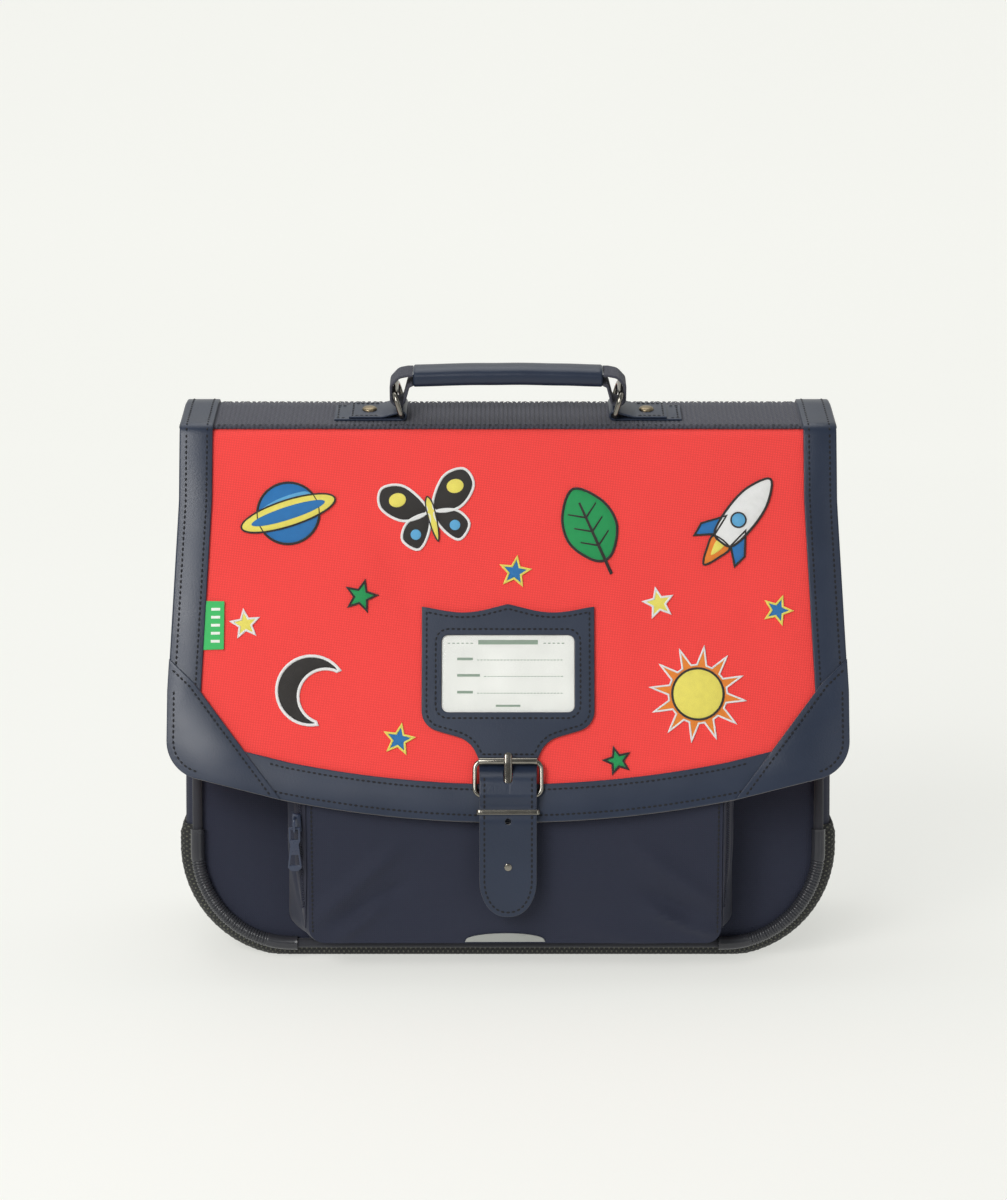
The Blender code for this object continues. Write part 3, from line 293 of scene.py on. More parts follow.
def resampled(line, pitch, closed=False):
    """The same line with points no further apart than a pitch."""
    points = list(line) + ([line[0]] if closed else [])
    found = []
    for a, b in zip(points, points[1:]):
        a, b = Vector(a), Vector(b)
        steps = max(1, math.ceil((b - a).length / pitch))
        found += [tuple(a.lerp(b, k / steps)) for k in range(steps)]
    return found if closed else found + [tuple(points[-1])]


def offset_line(line, distance, closed=False):
    """A flat line moved to its left by a distance."""
    count = len(line)
    moved = []
    for i in range(count):
        here = Vector(line[i])
        before = Vector(line[i - 1]) if closed or i else None
        after = Vector(line[(i + 1) % count]) if closed or i < count - 1 else None
        first = (here - before).normalized() if before is not None else (after - here).normalized()
        second = (after - here).normalized() if after is not None else first
        middle = (first + second).normalized()
        normal = Vector((-middle.y, middle.x))
        moved.append(tuple(here + normal * (distance / max(0.4, middle.dot(first)))))
    return moved


def wave(x, y, z, size):
    """Smooth repeatable noise from -1 to 1 with features of about a size."""
    return noise.noise(Vector((x, y, z)) / size)


# Meshes

def lattice(bm, columns, rows, place, flat, tint=None):
    """Adds a grid: place(i, j) gives a knot, flat(i, j) its pattern coordinates, tint(i) its material."""
    layer = bm.loops.layers.uv.get(UV) or bm.loops.layers.uv.new(UV)
    made = bmesh.ops.create_grid(bm, x_segments=columns - 1, y_segments=rows - 1, size=0.5)["verts"]
    low_x = min(v.co.x for v in made)
    low_y = min(v.co.y for v in made)
    span_x = max(v.co.x for v in made) - low_x
    span_y = max(v.co.y for v in made) - low_y
    knots = {v: (round((v.co.x - low_x) / span_x * (columns - 1)),
                 round((v.co.y - low_y) / span_y * (rows - 1))) for v in made}
    for face in {f for v in made for f in v.link_faces}:
        if tint:
            face.material_index = tint(min(knots[v][0] for v in face.verts))
        for loop in face.loops:
            loop[layer].uv = Vector(flat(*knots[loop.vert])) * MM
    for vert, knot in knots.items():
        vert.co = Vector(place(*knot)) * MM
    return made


def close_up(bm, caps=True):
    bmesh.ops.remove_doubles(bm, verts=bm.verts, dist=0.002 * MM)
    if caps:
        bmesh.ops.holes_fill(bm, edges=[e for e in bm.edges if e.is_boundary], sides=0)
    bmesh.ops.recalc_face_normals(bm, faces=bm.faces)
    return bm


def sweep(count, section, place, bm=None, looped=False, tint=None):
    """A closed section (a, b) carried along count places by place(i, a, b)."""
    bm = bm or bmesh.new()
    sections = [section(i) if callable(section) else section for i in range(count)]
    size = len(sections[0])
    girth = run_lengths([Vector(p) for p in sections[count // 2]] + [Vector(sections[count // 2][0])])
    spine = run_lengths([Vector(place(i % count, 0.0, 0.0)) for i in range(count + 1)])

    def knot(i, j):
        return place(j % count, *sections[j % count][i % size])

    lattice(bm, size + 1, count + (1 if looped else 0), knot, lambda i, j: (girth[i], spine[j]), tint)
    return close_up(bm, caps=not looped)


def put_in_scene(name, data):
    item = bpy.data.objects.new(name, data)
    bpy.context.scene.collection.objects.link(item)
    return item


def finish_piece(name, mesh, looks, nodes, body, sharp):
    """Shades a finished mesh, gives it its looks and sets it on its body."""
    mesh.shade_smooth()
    mesh.set_sharp_from_angle(angle=math.radians(sharp))
    item = put_in_scene(name, mesh)
    for look in looks if isinstance(looks, list) else [looks]:
        mesh.materials.append(look)
    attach(item, body)
    if nodes:
        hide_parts(*nodes)
    return item


def piece(name, bm, looks, slot, *nodes, body="bag", sharp=40.0):
    mesh = bpy.data.meshes.new(name)
    bm.to_mesh(mesh)
    bm.free()
    return finish_piece(name, mesh, looks, nodes, body, sharp)


def thicken(item, thickness):
    """Gives a sheet its thickness, inwards from its outer face."""
    wall = item.modifiers.new("wall", "SOLIDIFY")
    wall.thickness = thickness * MM
    wall.offset = -1.0
    wall.use_even_offset = True


def cut_out(outline, holes, thickness, rounding, place, bends=(), under=0.0, steps=3, bm=None):
    """A flat cut piece with rounded upper edges: outlines in (a, b), placed by place(a, b, height)."""
    bm = bm or bmesh.new()
    before = set(bm.verts)
    layer = bm.loops.layers.uv.get(UV) or bm.loops.layers.uv.new(UV)
    edges = []
    for line in [outline, *holes]:
        verts = [bm.verts.new((a, b, under)) for a, b in line]
        edges += [bm.edges.new((verts[i - 1], verts[i])) for i in range(len(verts))]
    made = bmesh.ops.triangle_fill(bm, use_beauty=True, edges=edges, normal=(0.0, 0.0, 1.0))["geom"]
    faces = [f for f in made if isinstance(f, bmesh.types.BMFace)]
    for face in faces:
        if face.normal.z < 0.0:
            face.normal_flip()
    for b in bends:
        mine = [v for v in bm.verts if v not in before]
        geometry = mine + [e for e in bm.edges if e.verts[0] not in before]
        geometry += [f for f in bm.faces if f.verts[0] not in before]
        bmesh.ops.bisect_plane(bm, geom=geometry, dist=1e-4, plane_co=(0.0, b, 0.0), plane_no=(0.0, 1.0, 0.0))
    faces = [f for f in bm.faces if f.verts[0] not in before]
    grown = bmesh.ops.extrude_face_region(bm, geom=faces)["geom"]
    upper = [v for v in grown if isinstance(v, bmesh.types.BMVert)]
    bmesh.ops.translate(bm, verts=upper, vec=(0.0, 0.0, thickness - rounding))
    crown = [f for f in grown if isinstance(f, bmesh.types.BMFace)]
    for k in range(steps):
        a, b = math.radians(90.0 * k / steps), math.radians(90.0 * (k + 1) / steps)
        bmesh.ops.inset_region(bm, faces=crown, use_boundary=True, use_even_offset=False,
                               thickness=rounding * (math.cos(a) - math.cos(b)),
                               depth=rounding * (math.sin(b) - math.sin(a)))
    mine = [v for v in bm.verts if v not in before]
    own_faces = {f for v in mine for f in v.link_faces}
    bmesh.ops.recalc_face_normals(bm, faces=list(own_faces))
    for face in own_faces:
        face.material_index = 1 if abs(face.normal.z) < 0.5 else 0
        for loop in face.loops:
            loop[layer].uv = loop.vert.co.xy * MM
    for vert in mine:
        vert.co = Vector(place(*vert.co)) * MM
    return bm


def template(build):
    bm = bmesh.new()
    build(bm)
    bm.verts.ensure_lookup_table()
    found = (np.array([v.co[:] for v in bm.verts]), [[v.index for v in f.verts] for f in bm.faces])
    bm.free()
    return found


def grain_of_thread(bm):
    bmesh.ops.create_uvsphere(bm, u_segments=6, v_segments=4, radius=0.5,
                              matrix=Matrix.Rotation(math.radians(90.0), 4, "Y"))


BEAD = template(grain_of_thread)


def scatter(name, shape, frames, look):
    """One joined mesh of many copies of a small shape, each placed by a frame (origin, a, b, c)."""
    coords, faces = shape
    count = len(coords)
    points = np.concatenate([np.array(o) + coords @ np.array([a, b, c]) for o, a, b, c in frames]) * MM
    turns = [[k * count + i for i in face] for k in range(len(frames)) for face in faces]
    mesh = bpy.data.meshes.new(name)
    mesh.from_pydata(points.tolist(), [], turns)
    mesh.update()
    return finish_piece(name, mesh, look, (), "bag", 60.0)


def stitches(line, place, height, pitch=STITCH_PITCH, closed=False):
    """Frames of a stitch row along a flat line, on a surface given by place(a, b, height)."""
    frames = []
    for point, direction in spaced(line, pitch, closed):
        lift = height(point.y) if callable(height) else height
        here = Vector(place(point.x, point.y, lift))
        ahead = Vector(place(point.x + direction.x, point.y + direction.y, lift)) - here
        out = Vector(place(point.x, point.y, lift + 1.0)) - here
        ahead.normalize()
        side = out.cross(ahead).normalized()
        frames.append((here, ahead * STITCH[0], side * STITCH[1], ahead.cross(side) * STITCH[2]))
    return frames


def sew(name, rows):
    """All the stitches of one part as a piece."""
    return scatter(name, BEAD, rows, LOOKS["stitch"])


def eased_copy(name, node, look, slot, width, body="bag"):
    """A rigid piece of the construction with its edges rounded."""
    bm = bmesh.new()
    bm.from_mesh(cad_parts[node].data)
    bmesh.ops.remove_doubles(bm, verts=bm.verts, dist=0.003 * MM)
    bmesh.ops.dissolve_limit(bm, angle_limit=math.radians(2.0), verts=bm.verts, edges=bm.edges)
    edges = [e for e in bm.edges if e.is_manifold and e.calc_face_angle() > math.radians(28.0)]
    bmesh.ops.bevel(bm, geom=edges, offset=width * MM, offset_type="OFFSET", segments=2,
                    profile=0.5, affect="EDGES", material=-1, clamp_overlap=True)
    bmesh.ops.recalc_face_normals(bm, faces=bm.faces)
    return piece(name, bm, look, slot, node, body=body, sharp=35.0)


# Materials

def srgb(red, green, blue):
    return tuple((c / 255 / 12.92) if c < 10.3 else ((c / 255 + 0.055) / 1.055) ** 2.4
                 for c in (red, green, blue)) + (1.0,)


def add_node(tree, kind, settings=None, **inputs):
    """A shader node; an input is a value or another node's output, by name or as i0, i1 and so on."""
    made = tree.nodes.new("ShaderNode" + kind)
    for key, value in (settings or {}).items():
        setattr(made, key, value)
    for key, value in inputs.items():
        socket = made.inputs[int(key[1:])] if key[0] == "i" and key[1:].isdigit() \
            else made.inputs[key.replace("_", " ")]
        if isinstance(value, bpy.types.NodeSocket):
            tree.links.new(value, socket)
        else:
            socket.default_value = value
    return made


def result(tree, operation, a, b=0.0, c=None):
    """What a Math node puts out."""
    values = {"i0": a, "i1": b}
    if c is not None:
        values["i2"] = c
    return add_node(tree, "Math", {"operation": operation}, **values).outputs[0]


def blend_colours(tree, factor, a, b, mode="MIX"):
    return add_node(tree, "Mix", {"data_type": "RGBA", "blend_type": mode},
                    i0=factor, i6=a, i7=b).outputs[2]


def effect(name, inputs, outputs):
    """An empty node group with named inputs and outputs, and its two end nodes."""
    tree = bpy.data.node_groups.new(name, "ShaderNodeTree")
    for socket, kind, value in inputs:
        made = tree.interface.new_socket(socket, in_out="INPUT", socket_type="NodeSocket" + kind)
        if value is not None:
            made.default_value = value
    for socket in outputs:
        tree.interface.new_socket(socket, in_out="OUTPUT", socket_type="NodeSocketFloat")
    return tree, tree.nodes.new("NodeGroupInput"), tree.nodes.new("NodeGroupOutput")


def weave_effect():
    """Over-and-under threads at a pitch in metres, with uneven thread tones."""
    tree, given, found = effect("woven_threads", [("Vector", "Vector", None), ("Pitch", "Float", 0.0009),
                                                  ("Slant", "Float", 0.0)], ["Height", "Tone"])
    turned = add_node(tree, "VectorRotate", {"rotation_type": "Z_AXIS"}, Vector=given.outputs["Vector"],
                      Angle=given.outputs["Slant"]).outputs[0]
    rate = result(tree, "DIVIDE", math.pi, given.outputs["Pitch"])
    scaled = add_node(tree, "VectorMath", {"operation": "SCALE"}, i0=turned, Scale=rate).outputs[0]
    split = add_node(tree, "SeparateXYZ", i0=scaled)
    crossing = result(tree, "MULTIPLY", result(tree, "SINE", split.outputs[0]),
                      result(tree, "SINE", split.outputs[1]))
    weft = result(tree, "ABSOLUTE", result(tree, "SINE", split.outputs[1]))
    height = result(tree, "ADD", result(tree, "MULTIPLY", crossing, 0.35), result(tree, "MULTIPLY", weft, 0.3))
    threads = add_node(tree, "Mapping", Vector=scaled, Scale=(0.32, 0.05, 0.0)).outputs[0]
    uneven = add_node(tree, "TexNoise", Vector=threads, Scale=1.0, Detail=2.0, Roughness=0.6).outputs[0]
    tree.links.new(result(tree, "ADD", height, 0.4), found.inputs["Height"])
    tree.links.new(uneven, found.inputs["Tone"])
    return tree


def grain_effect():
    """Fine leather pebbles and broad soft tone changes."""
    tree, given, found = effect("leather_grain", [("Vector", "Vector", None), ("Pebble", "Float", 0.0011)],
                                ["Height", "Tone"])
    rate = result(tree, "DIVIDE", 1.0, given.outputs["Pebble"])
    cells = add_node(tree, "TexVoronoi", {"feature": "SMOOTH_F1"}, Vector=given.outputs["Vector"],
                     Scale=rate, Smoothness=0.6, Randomness=1.0).outputs["Distance"]
    fine = add_node(tree, "TexNoise", Vector=given.outputs["Vector"],
                    Scale=result(tree, "MULTIPLY", rate, 2.2), Detail=2.0).outputs[0]
    broad = add_node(tree, "TexNoise", Vector=given.outputs["Vector"], Scale=26.0, Detail=3.0,
                     Roughness=0.55).outputs[0]
    height = result(tree, "ADD", result(tree, "MULTIPLY", cells, -0.8), result(tree, "MULTIPLY", fine, 0.35))
    tree.links.new(height, found.inputs["Height"])
    tree.links.new(broad, found.inputs["Tone"])
    return tree


def wear_effect():
    """Faint scuffs and cloudy patches for hard surfaces."""
    tree, given, found = effect("handling_wear", [("Vector", "Vector", None)], ["Cloud", "Scuff"])
    cloud = add_node(tree, "TexNoise", Vector=given.outputs["Vector"], Scale=90.0, Detail=4.0,
                     Roughness=0.6).outputs[0]
    stretched = add_node(tree, "Mapping", Vector=given.outputs["Vector"], Scale=(260.0, 900.0, 2400.0),
                         Rotation=(0.3, 0.2, 0.5)).outputs[0]
    scuff = add_node(tree, "TexNoise", Vector=stretched, Scale=1.0, Detail=2.0).outputs[0]
    tree.links.new(cloud, found.inputs["Cloud"])
    tree.links.new(scuff, found.inputs["Scuff"])
    return tree


EFFECTS = {"weave": weave_effect(), "grain": grain_effect(), "wear": wear_effect()}


def use_effect(tree, name, **inputs):
    made = tree.nodes.new("ShaderNodeGroup")
    made.node_tree = EFFECTS[name]
    for key, value in inputs.items():
        if isinstance(value, bpy.types.NodeSocket):
            tree.links.new(value, made.inputs[key])
        else:
            made.inputs[key].default_value = value
    return made.outputs


def new_look(name, roughness, metallic=0.0, **constants):
    material = bpy.data.materials.new(name)
    material.use_nodes = True
    tree = material.node_tree
    shader = tree.nodes["Principled BSDF"]
    shader.inputs["Roughness"].default_value = roughness
    shader.inputs["Metallic"].default_value = metallic
    for key, value in constants.items():
        shader.inputs[key.replace("_", " ")].default_value = value
    return material, tree, shader


def pattern_place(tree, on_uv):
    if on_uv:
        return add_node(tree, "UVMap", {"uv_map": UV}).outputs[0]
    return add_node(tree, "TexCoord").outputs["Object"]


def relief(tree, shader, height, distance, strength=1.0):
    bump = add_node(tree, "Bump", Height=height, Distance=distance * MM, Strength=strength)
    tree.links.new(bump.outputs[0], shader.inputs["Normal"])


def toned(colour, factor):
    return tuple(min(1.0, c * factor) for c in colour[:3]) + (1.0,)


def cloth_look(name, colour, pitch=0.9, depth=0.12, slant=45.0, on_uv=True, roughness=0.82, contrast=0.16,
               sheen=0.15):
    material, tree, shader = new_look(name, roughness, Sheen_Weight=sheen, Sheen_Roughness=0.5)
    place = pattern_place(tree, on_uv)
    weave = use_effect(tree, "weave", Vector=place, Pitch=pitch * MM, Slant=math.radians(slant))
    shade = blend_colours(tree, weave["Height"], toned(colour, 1.0 - contrast), toned(colour, 1.0 + contrast))
    mottle = add_node(tree, "TexNoise", Vector=place, Scale=16.0, Detail=3.0).outputs[0]
    tone = result(tree, "ADD", result(tree, "MULTIPLY", weave["Tone"], 0.3),
                  result(tree, "MULTIPLY", mottle, 0.45))
    shade = blend_colours(tree, result(tree, "SUBTRACT", tone, 0.2), shade, toned(colour, 1.3))
    tree.links.new(shade, shader.inputs["Base Color"])
    relief(tree, shader, weave["Height"], depth)
    return material


def leather_look(name, colour, roughness=0.36, pebble=1.0, depth=0.05, on_uv=False):
    material, tree, shader = new_look(name, roughness, Specular_IOR_Level=0.45, Sheen_Weight=0.02)
    place = pattern_place(tree, on_uv)
    grain = use_effect(tree, "grain", Vector=place, Pebble=pebble * MM)
    shade = blend_colours(tree, grain["Tone"], toned(colour, 0.82), toned(colour, 1.2))
    tree.links.new(shade, shader.inputs["Base Color"])
    gloss = result(tree, "ADD", result(tree, "MULTIPLY", grain["Tone"], 0.18), roughness - 0.09)
    tree.links.new(gloss, shader.inputs["Roughness"])
    relief(tree, shader, grain["Height"], depth)
    return material


def metal_look(name, colour, roughness, wear=0.16):
    material, tree, shader = new_look(name, roughness, 1.0)
    marks = use_effect(tree, "wear", Vector=pattern_place(tree, False))
    shade = blend_colours(tree, marks["Cloud"], toned(colour, 0.8), toned(colour, 1.15))
    tree.links.new(shade, shader.inputs["Base Color"])
    rough = result(tree, "ADD", result(tree, "MULTIPLY", marks["Cloud"], wear),
                   result(tree, "MULTIPLY", marks["Scuff"], wear * 0.6))
    tree.links.new(result(tree, "ADD", rough, max(0.02, roughness - wear * 0.8)), shader.inputs["Roughness"])
    relief(tree, shader, marks["Scuff"], 0.01)
    return material


def plastic_look(name, colour, roughness):
    material, tree, shader = new_look(name, roughness)
    marks = use_effect(tree, "wear", Vector=pattern_place(tree, False))
    shade = blend_colours(tree, marks["Cloud"], toned(colour, 0.85), toned(colour, 1.15))
    tree.links.new(shade, shader.inputs["Base Color"])
    tree.links.new(result(tree, "ADD", result(tree, "MULTIPLY", marks["Cloud"], 0.2), roughness - 0.1),
                   shader.inputs["Roughness"])
    relief(tree, shader, marks["Cloud"], 0.03)
    return material


def dotted_look(name, colour, dot, pitch):
    """Black cloth with pale raised knots on a diamond grid."""
    material, tree, shader = new_look(name, 0.78, Sheen_Weight=0.1)
    place = pattern_place(tree, True)
    scaled = add_node(tree, "VectorMath", {"operation": "SCALE"}, i0=place,
                      Scale=2 * math.pi / (pitch * MM)).outputs[0]
    split = add_node(tree, "SeparateXYZ", i0=scaled)
    grid = result(tree, "MULTIPLY", result(tree, "COSINE", split.outputs[0]),
                  result(tree, "COSINE", split.outputs[1]))
    knots = add_node(tree, "MapRange", Value=grid, i1=0.35, i2=0.8).outputs[0]
    weave = use_effect(tree, "weave", Vector=place, Pitch=0.8 * MM, Slant=0.0)
    ground = blend_colours(tree, weave["Height"], toned(colour, 0.7), toned(colour, 1.5))
    uneven = add_node(tree, "TexNoise", Vector=place, Scale=700.0, Detail=1.0).outputs[0]
    mask = result(tree, "MULTIPLY", knots, result(tree, "ADD", result(tree, "MULTIPLY", uneven, 1.2), -0.05))
    tree.links.new(blend_colours(tree, mask, ground, dot), shader.inputs["Base Color"])
    relief(tree, shader, result(tree, "ADD", result(tree, "MULTIPLY", grid, 0.5), weave["Height"]), 0.22)
    return material


def thread_look(name, colour, roughness=0.55, ridge=0.55, slant=0.0, on_uv=True, depth=0.12, contrast=0.22):
    """Satin stitches: fine parallel threads across a motif."""
    material, tree, shader = new_look(name, roughness, Sheen_Weight=0.25, Sheen_Roughness=0.35)
    place = pattern_place(tree, on_uv)
    turned = add_node(tree, "VectorRotate", {"rotation_type": "Z_AXIS"}, Vector=place,
                      Angle=math.radians(slant)).outputs[0]
    wobble = add_node(tree, "TexNoise", Vector=turned, Scale=260.0, Detail=2.0).outputs[0]
    split = add_node(tree, "SeparateXYZ", i0=turned)
    at = result(tree, "ADD", result(tree, "MULTIPLY", split.outputs[0], 2 * math.pi / (ridge * MM)),
                result(tree, "MULTIPLY", wobble, 3.5))
    lines = result(tree, "ABSOLUTE", result(tree, "SINE", at))
    tone = result(tree, "ADD", result(tree, "MULTIPLY", lines, 0.6), result(tree, "MULTIPLY", wobble, 0.4))
    shade = blend_colours(tree, tone, toned(colour, 1.0 - contrast), toned(colour, 1.0 + contrast))
    tree.links.new(shade, shader.inputs["Base Color"])
    relief(tree, shader, tone, depth)
    return material


def film_look(name):
    material, tree, shader = new_look(name, 0.08, Specular_IOR_Level=0.5)
    shader.inputs["Base Color"].default_value = (0.95, 0.96, 0.95, 1.0)
    haze = add_node(tree, "TexNoise", Vector=pattern_place(tree, True), Scale=30.0, Detail=2.0).outputs[0]
    tree.links.new(result(tree, "ADD", result(tree, "MULTIPLY", haze, 0.06), 0.06), shader.inputs["Alpha"])
    relief(tree, shader, haze, 0.3, 0.3)
    return material


RED = srgb(238, 62, 58)
NAVY_CLOTH = srgb(25, 30, 49)
NAVY = srgb(35, 45, 64)

LOOKS = {
    "red": cloth_look("red_oxford", RED, pitch=1.0, depth=0.17, slant=38.0, contrast=0.28, sheen=0.06),
    "navy": cloth_look("navy_twill", NAVY_CLOTH, pitch=0.9, depth=0.12, slant=45.0, contrast=0.26, sheen=0.08),
    "navy_solid": cloth_look("navy_cloth", NAVY_CLOTH, pitch=0.8, depth=0.1, on_uv=False),
    "leather": leather_look("navy_leather", NAVY),
    "leather_edge": leather_look("leather_cut_edge", srgb(112, 109, 109), roughness=0.7, pebble=0.6),
    "webbing": cloth_look("slate_webbing", srgb(58, 59, 70), pitch=1.3, depth=0.2, slant=0.0, contrast=0.34),
    "dotted": dotted_look("dotted_black", srgb(24, 25, 25), srgb(112, 113, 96), 2.9),
    "piping": cloth_look("charcoal_piping", srgb(36, 37, 44), pitch=0.7, depth=0.08),
    "guard": plastic_look("grey_plastic", srgb(50, 51, 56), 0.25),
    "gunmetal": metal_look("gunmetal", srgb(146, 142, 133), 0.2, 0.08),
    "brass": metal_look("old_brass", srgb(142, 128, 104), 0.36),
    "painted": plastic_look("slate_paint", srgb(50, 58, 78), 0.28),
    "tape": cloth_look("zip_tape", srgb(25, 28, 46), pitch=0.6, depth=0.1, slant=0.0),
    "coil": plastic_look("zip_coil", srgb(36, 39, 56), 0.4),
    "tag": cloth_look("green_tag", srgb(58, 178, 96), pitch=0.5, depth=0.06, slant=0.0, contrast=0.1,
                      sheen=0.3),
    "tag_mark": thread_look("white_tag_thread", srgb(232, 240, 228), ridge=0.5, depth=0.05),
    "card": leather_look("card_paper", srgb(235, 237, 231), roughness=0.65, pebble=0.5, depth=0.01),
    "print": plastic_look("card_print", srgb(104, 134, 108), 0.6),
    "film": film_look("clear_film"),
    "reflector": cloth_look("silver_reflector", srgb(150, 152, 148), pitch=0.5, depth=0.05, slant=0.0,
                            roughness=0.42, sheen=0.0),
    "stitch": thread_look("navy_thread", srgb(9, 11, 20), roughness=0.7, ridge=0.4, on_uv=False, depth=0.06),
    "thread_black": thread_look("black_embroidery", srgb(38, 34, 32), slant=35.0),
    "thread_white": thread_look("white_embroidery", srgb(240, 240, 236), slant=10.0),
    "thread_yellow": thread_look("yellow_embroidery", srgb(240, 222, 100), slant=60.0),
    "thread_blue": thread_look("blue_embroidery", srgb(28, 112, 178), slant=-20.0),
    "thread_sky": thread_look("sky_embroidery", srgb(92, 168, 214), slant=-50.0),
    "thread_green": thread_look("green_embroidery", srgb(24, 150, 82), slant=75.0),
    "thread_orange": thread_look("orange_embroidery", srgb(236, 132, 40), slant=20.0),
}
CUT_LEATHER = [LOOKS["leather"], LOOKS["leather_edge"]]


# Body

def u_rows(half, foot, radius, top, arc_rows, straight_rows):
    """Half width and height of each row of a U-shaped panel, from its foot up."""
    rows = []
    for k in range(arc_rows + 1):
        angle = math.radians(90.0 * k / arc_rows)
        rows.append((half - radius + radius * math.sin(angle), foot + radius * (1.0 - math.cos(angle))))
    for k in range(1, straight_rows + 1):
        rows.append((half, foot + radius + (top - foot - radius) * k / straight_rows))
    return rows


def u_edge(rows, columns):
    """The panel's outline, from its left top round its foot to its right top."""
    half, foot = rows[0]
    low = [(half * (2.0 * i / (columns - 1) - 1.0), foot) for i in range(1, columns - 1)]
    return [(-x, z) for x, z in reversed(rows)] + low + list(rows)


def u_panel(bm, rows, columns, place):
    def at(i, j):
        return rows[j][0] * (2.0 * i / (columns - 1) - 1.0), rows[j][1]
    lattice(bm, columns, len(rows), lambda i, j: place(*at(i, j)), at)


def front_y(z):
    return FRONT_FOOT_Y + FRONT_LEAN * z


def bow(share):
    edge = min(share, 1.0 - share)
    return BOW * max(0.0, (BOW_EASE - edge) / BOW_EASE) ** 1.5


def gusset_rows(share, inward, top, arc_rows=16, straight_rows=36):
    inset = bow(share) + inward * ease(min(share, 1.0 - share) / 0.04)
    return u_rows(HALF_WIDTH - inset, inset, CORNER - inset, top, arc_rows, straight_rows)


def gusset_y(share, z):
    return front_y(z) + share * (BACK_Y - front_y(z))


def slump(x, y, z):
    """How far the side of the bag sinks in between its seams, above the stiff base."""
    height = ease((z - COVER_TOP) / 90.0) * ease((RIM + 20.0 - z) / 60.0)
    return height * (1.6 + 1.5 * wave(x * 0.1, y, z, 70.0)) * ease(1.0 - abs(y) / 62.0)


BODY_COLUMNS = 60


def build_body():
    bm = bmesh.new()
    inward = COVER + GAP
    front = gusset_rows(0.0, inward, RIM)

    def front_place(x, z):
        return x, front_y(z) + 0.5 * wave(x, 3.0, z, 60.0) * ease(min(180.0 - abs(x), z) / 30.0), z

    def back_place(x, z):
        return x, BACK_Y, z

    u_panel(bm, front, BODY_COLUMNS, front_place)
    u_panel(bm, front, BODY_COLUMNS, back_place)
    shares = [0.5 - 0.5 * math.cos(math.pi * k / 24) for k in range(25)]
    edges = [u_edge(gusset_rows(s, inward, RIM), BODY_COLUMNS) for s in shares]
    spine = run_lengths(edges[0])

    def gusset_place(i, j):
        x, z = edges[j][i]
        y = gusset_y(shares[j], z)
        drawn = slump(x, y, z) if 0 < j < len(shares) - 1 else 0.0
        return x - math.copysign(drawn, x), y, z

    lattice(bm, len(spine), len(shares), gusset_place, lambda i, j: (spine[i], shares[j] * DEPTH))
    close_up(bm, caps=False)
    body = piece("bag_body", bm, LOOKS["navy"], "navy_fabric", "body_shell")
    thicken(body, WALL)
    return body


def build_base_cover():
    """Dotted cloth round the gusset's lower part, with a real knobbly surface."""
    columns, arc_rows, straight_rows = 210, 72, 10
    rows = gusset_rows(0.5, 0.0, COVER_TOP, arc_rows, straight_rows)
    shares = [COVER_MARGIN + (1.0 - 2 * COVER_MARGIN) * (0.5 - 0.5 * math.cos(math.pi * k / 96))
              for k in range(97)]
    edges = [u_edge(gusset_rows(s, -COVER_SWELL * ease(min(s, 1.0 - s) / 0.05), COVER_TOP, arc_rows,
                                straight_rows), columns) for s in shares]
    spine = run_lengths(u_edge(rows, columns))
    centre_x, centre_z = HALF_WIDTH - CORNER, CORNER

    def place(i, j):
        x, z = edges[j][i]
        z = max(z, 0.0)
        x -= math.copysign(COVER_SWELL * ease((z - COVER_TOP + 6.0) / 6.0), x)
        along = spine[i] * 2 * math.pi / KNOB_PITCH
        across = shares[j] * DEPTH * 2 * math.pi / KNOB_PITCH
        knob = KNOB_HEIGHT * max(0.0, math.cos(along) * math.cos(across))
        out = Vector((max(0.0, abs(x) - centre_x) * math.copysign(1.0, x), min(0.0, z - centre_z)))
        if z > centre_z:
            out = Vector((math.copysign(1.0, x), 0.0))
        if abs(x) < centre_x:
            out = Vector((0.0, -1.0))
            knob = min(knob, z)
        out.normalize()
        return x + out.x * knob, gusset_y(shares[j], z), z + out.y * knob

    bm = bmesh.new()
    lattice(bm, len(spine), len(shares), place, lambda i, j: (spine[i], shares[j] * DEPTH))
    close_up(bm, caps=False)
    cover = piece("base_cloth", bm, LOOKS["dotted"], "black_cloth", "base_cover")
    thicken(cover, COVER - 0.2)


def seam_path(y_at, top, step=2.0):
    rows = u_rows(HALF_WIDTH - BOW, BOW, CORNER - BOW, top, 40, 10)
    return [(x, y_at(z), z) for x, z in resampled(u_edge(rows, 60), step)]


def path_frames(points):
    """For each point of a path its place and the directions out to its side and to its back."""
    frames = []
    for i, point in enumerate(points):
        along = heading(points, i)
        side = along.cross(Vector((0.0, 1.0, 0.0))).normalized()
        frames.append((Vector(point), side, side.cross(along).normalized()))
    return frames


def build_tube(name, points, section, look, slot, node, swell):
    """A tube along a path; swell(i) scales its section at each point."""
    frames = path_frames(points)

    def place(i, a, b):
        origin, side, out = frames[i]
        size = swell(i)
        return origin + side * (a * size) + out * (b * size)

    return piece(name, sweep(len(points), section, place), look, slot, node)


def build_piping():
    for name, y_at, top in (("front", lambda z: front_y(z) - PIPING, PIPING_TOP),
                            ("back", lambda _z: BACK_Y + PIPING, FLAP_TAIL_Z - 6.0)):
        points = seam_path(y_at, top)
        build_tube(name + "_piped_edge", points, circle(PIPING, 14), LOOKS["piping"],
                   "charcoal_piping", name + "_piping",
                   swell=lambda i: 1.0 + 0.035 * wave(i * 2.0, 0.0, 7.0, 5.0))


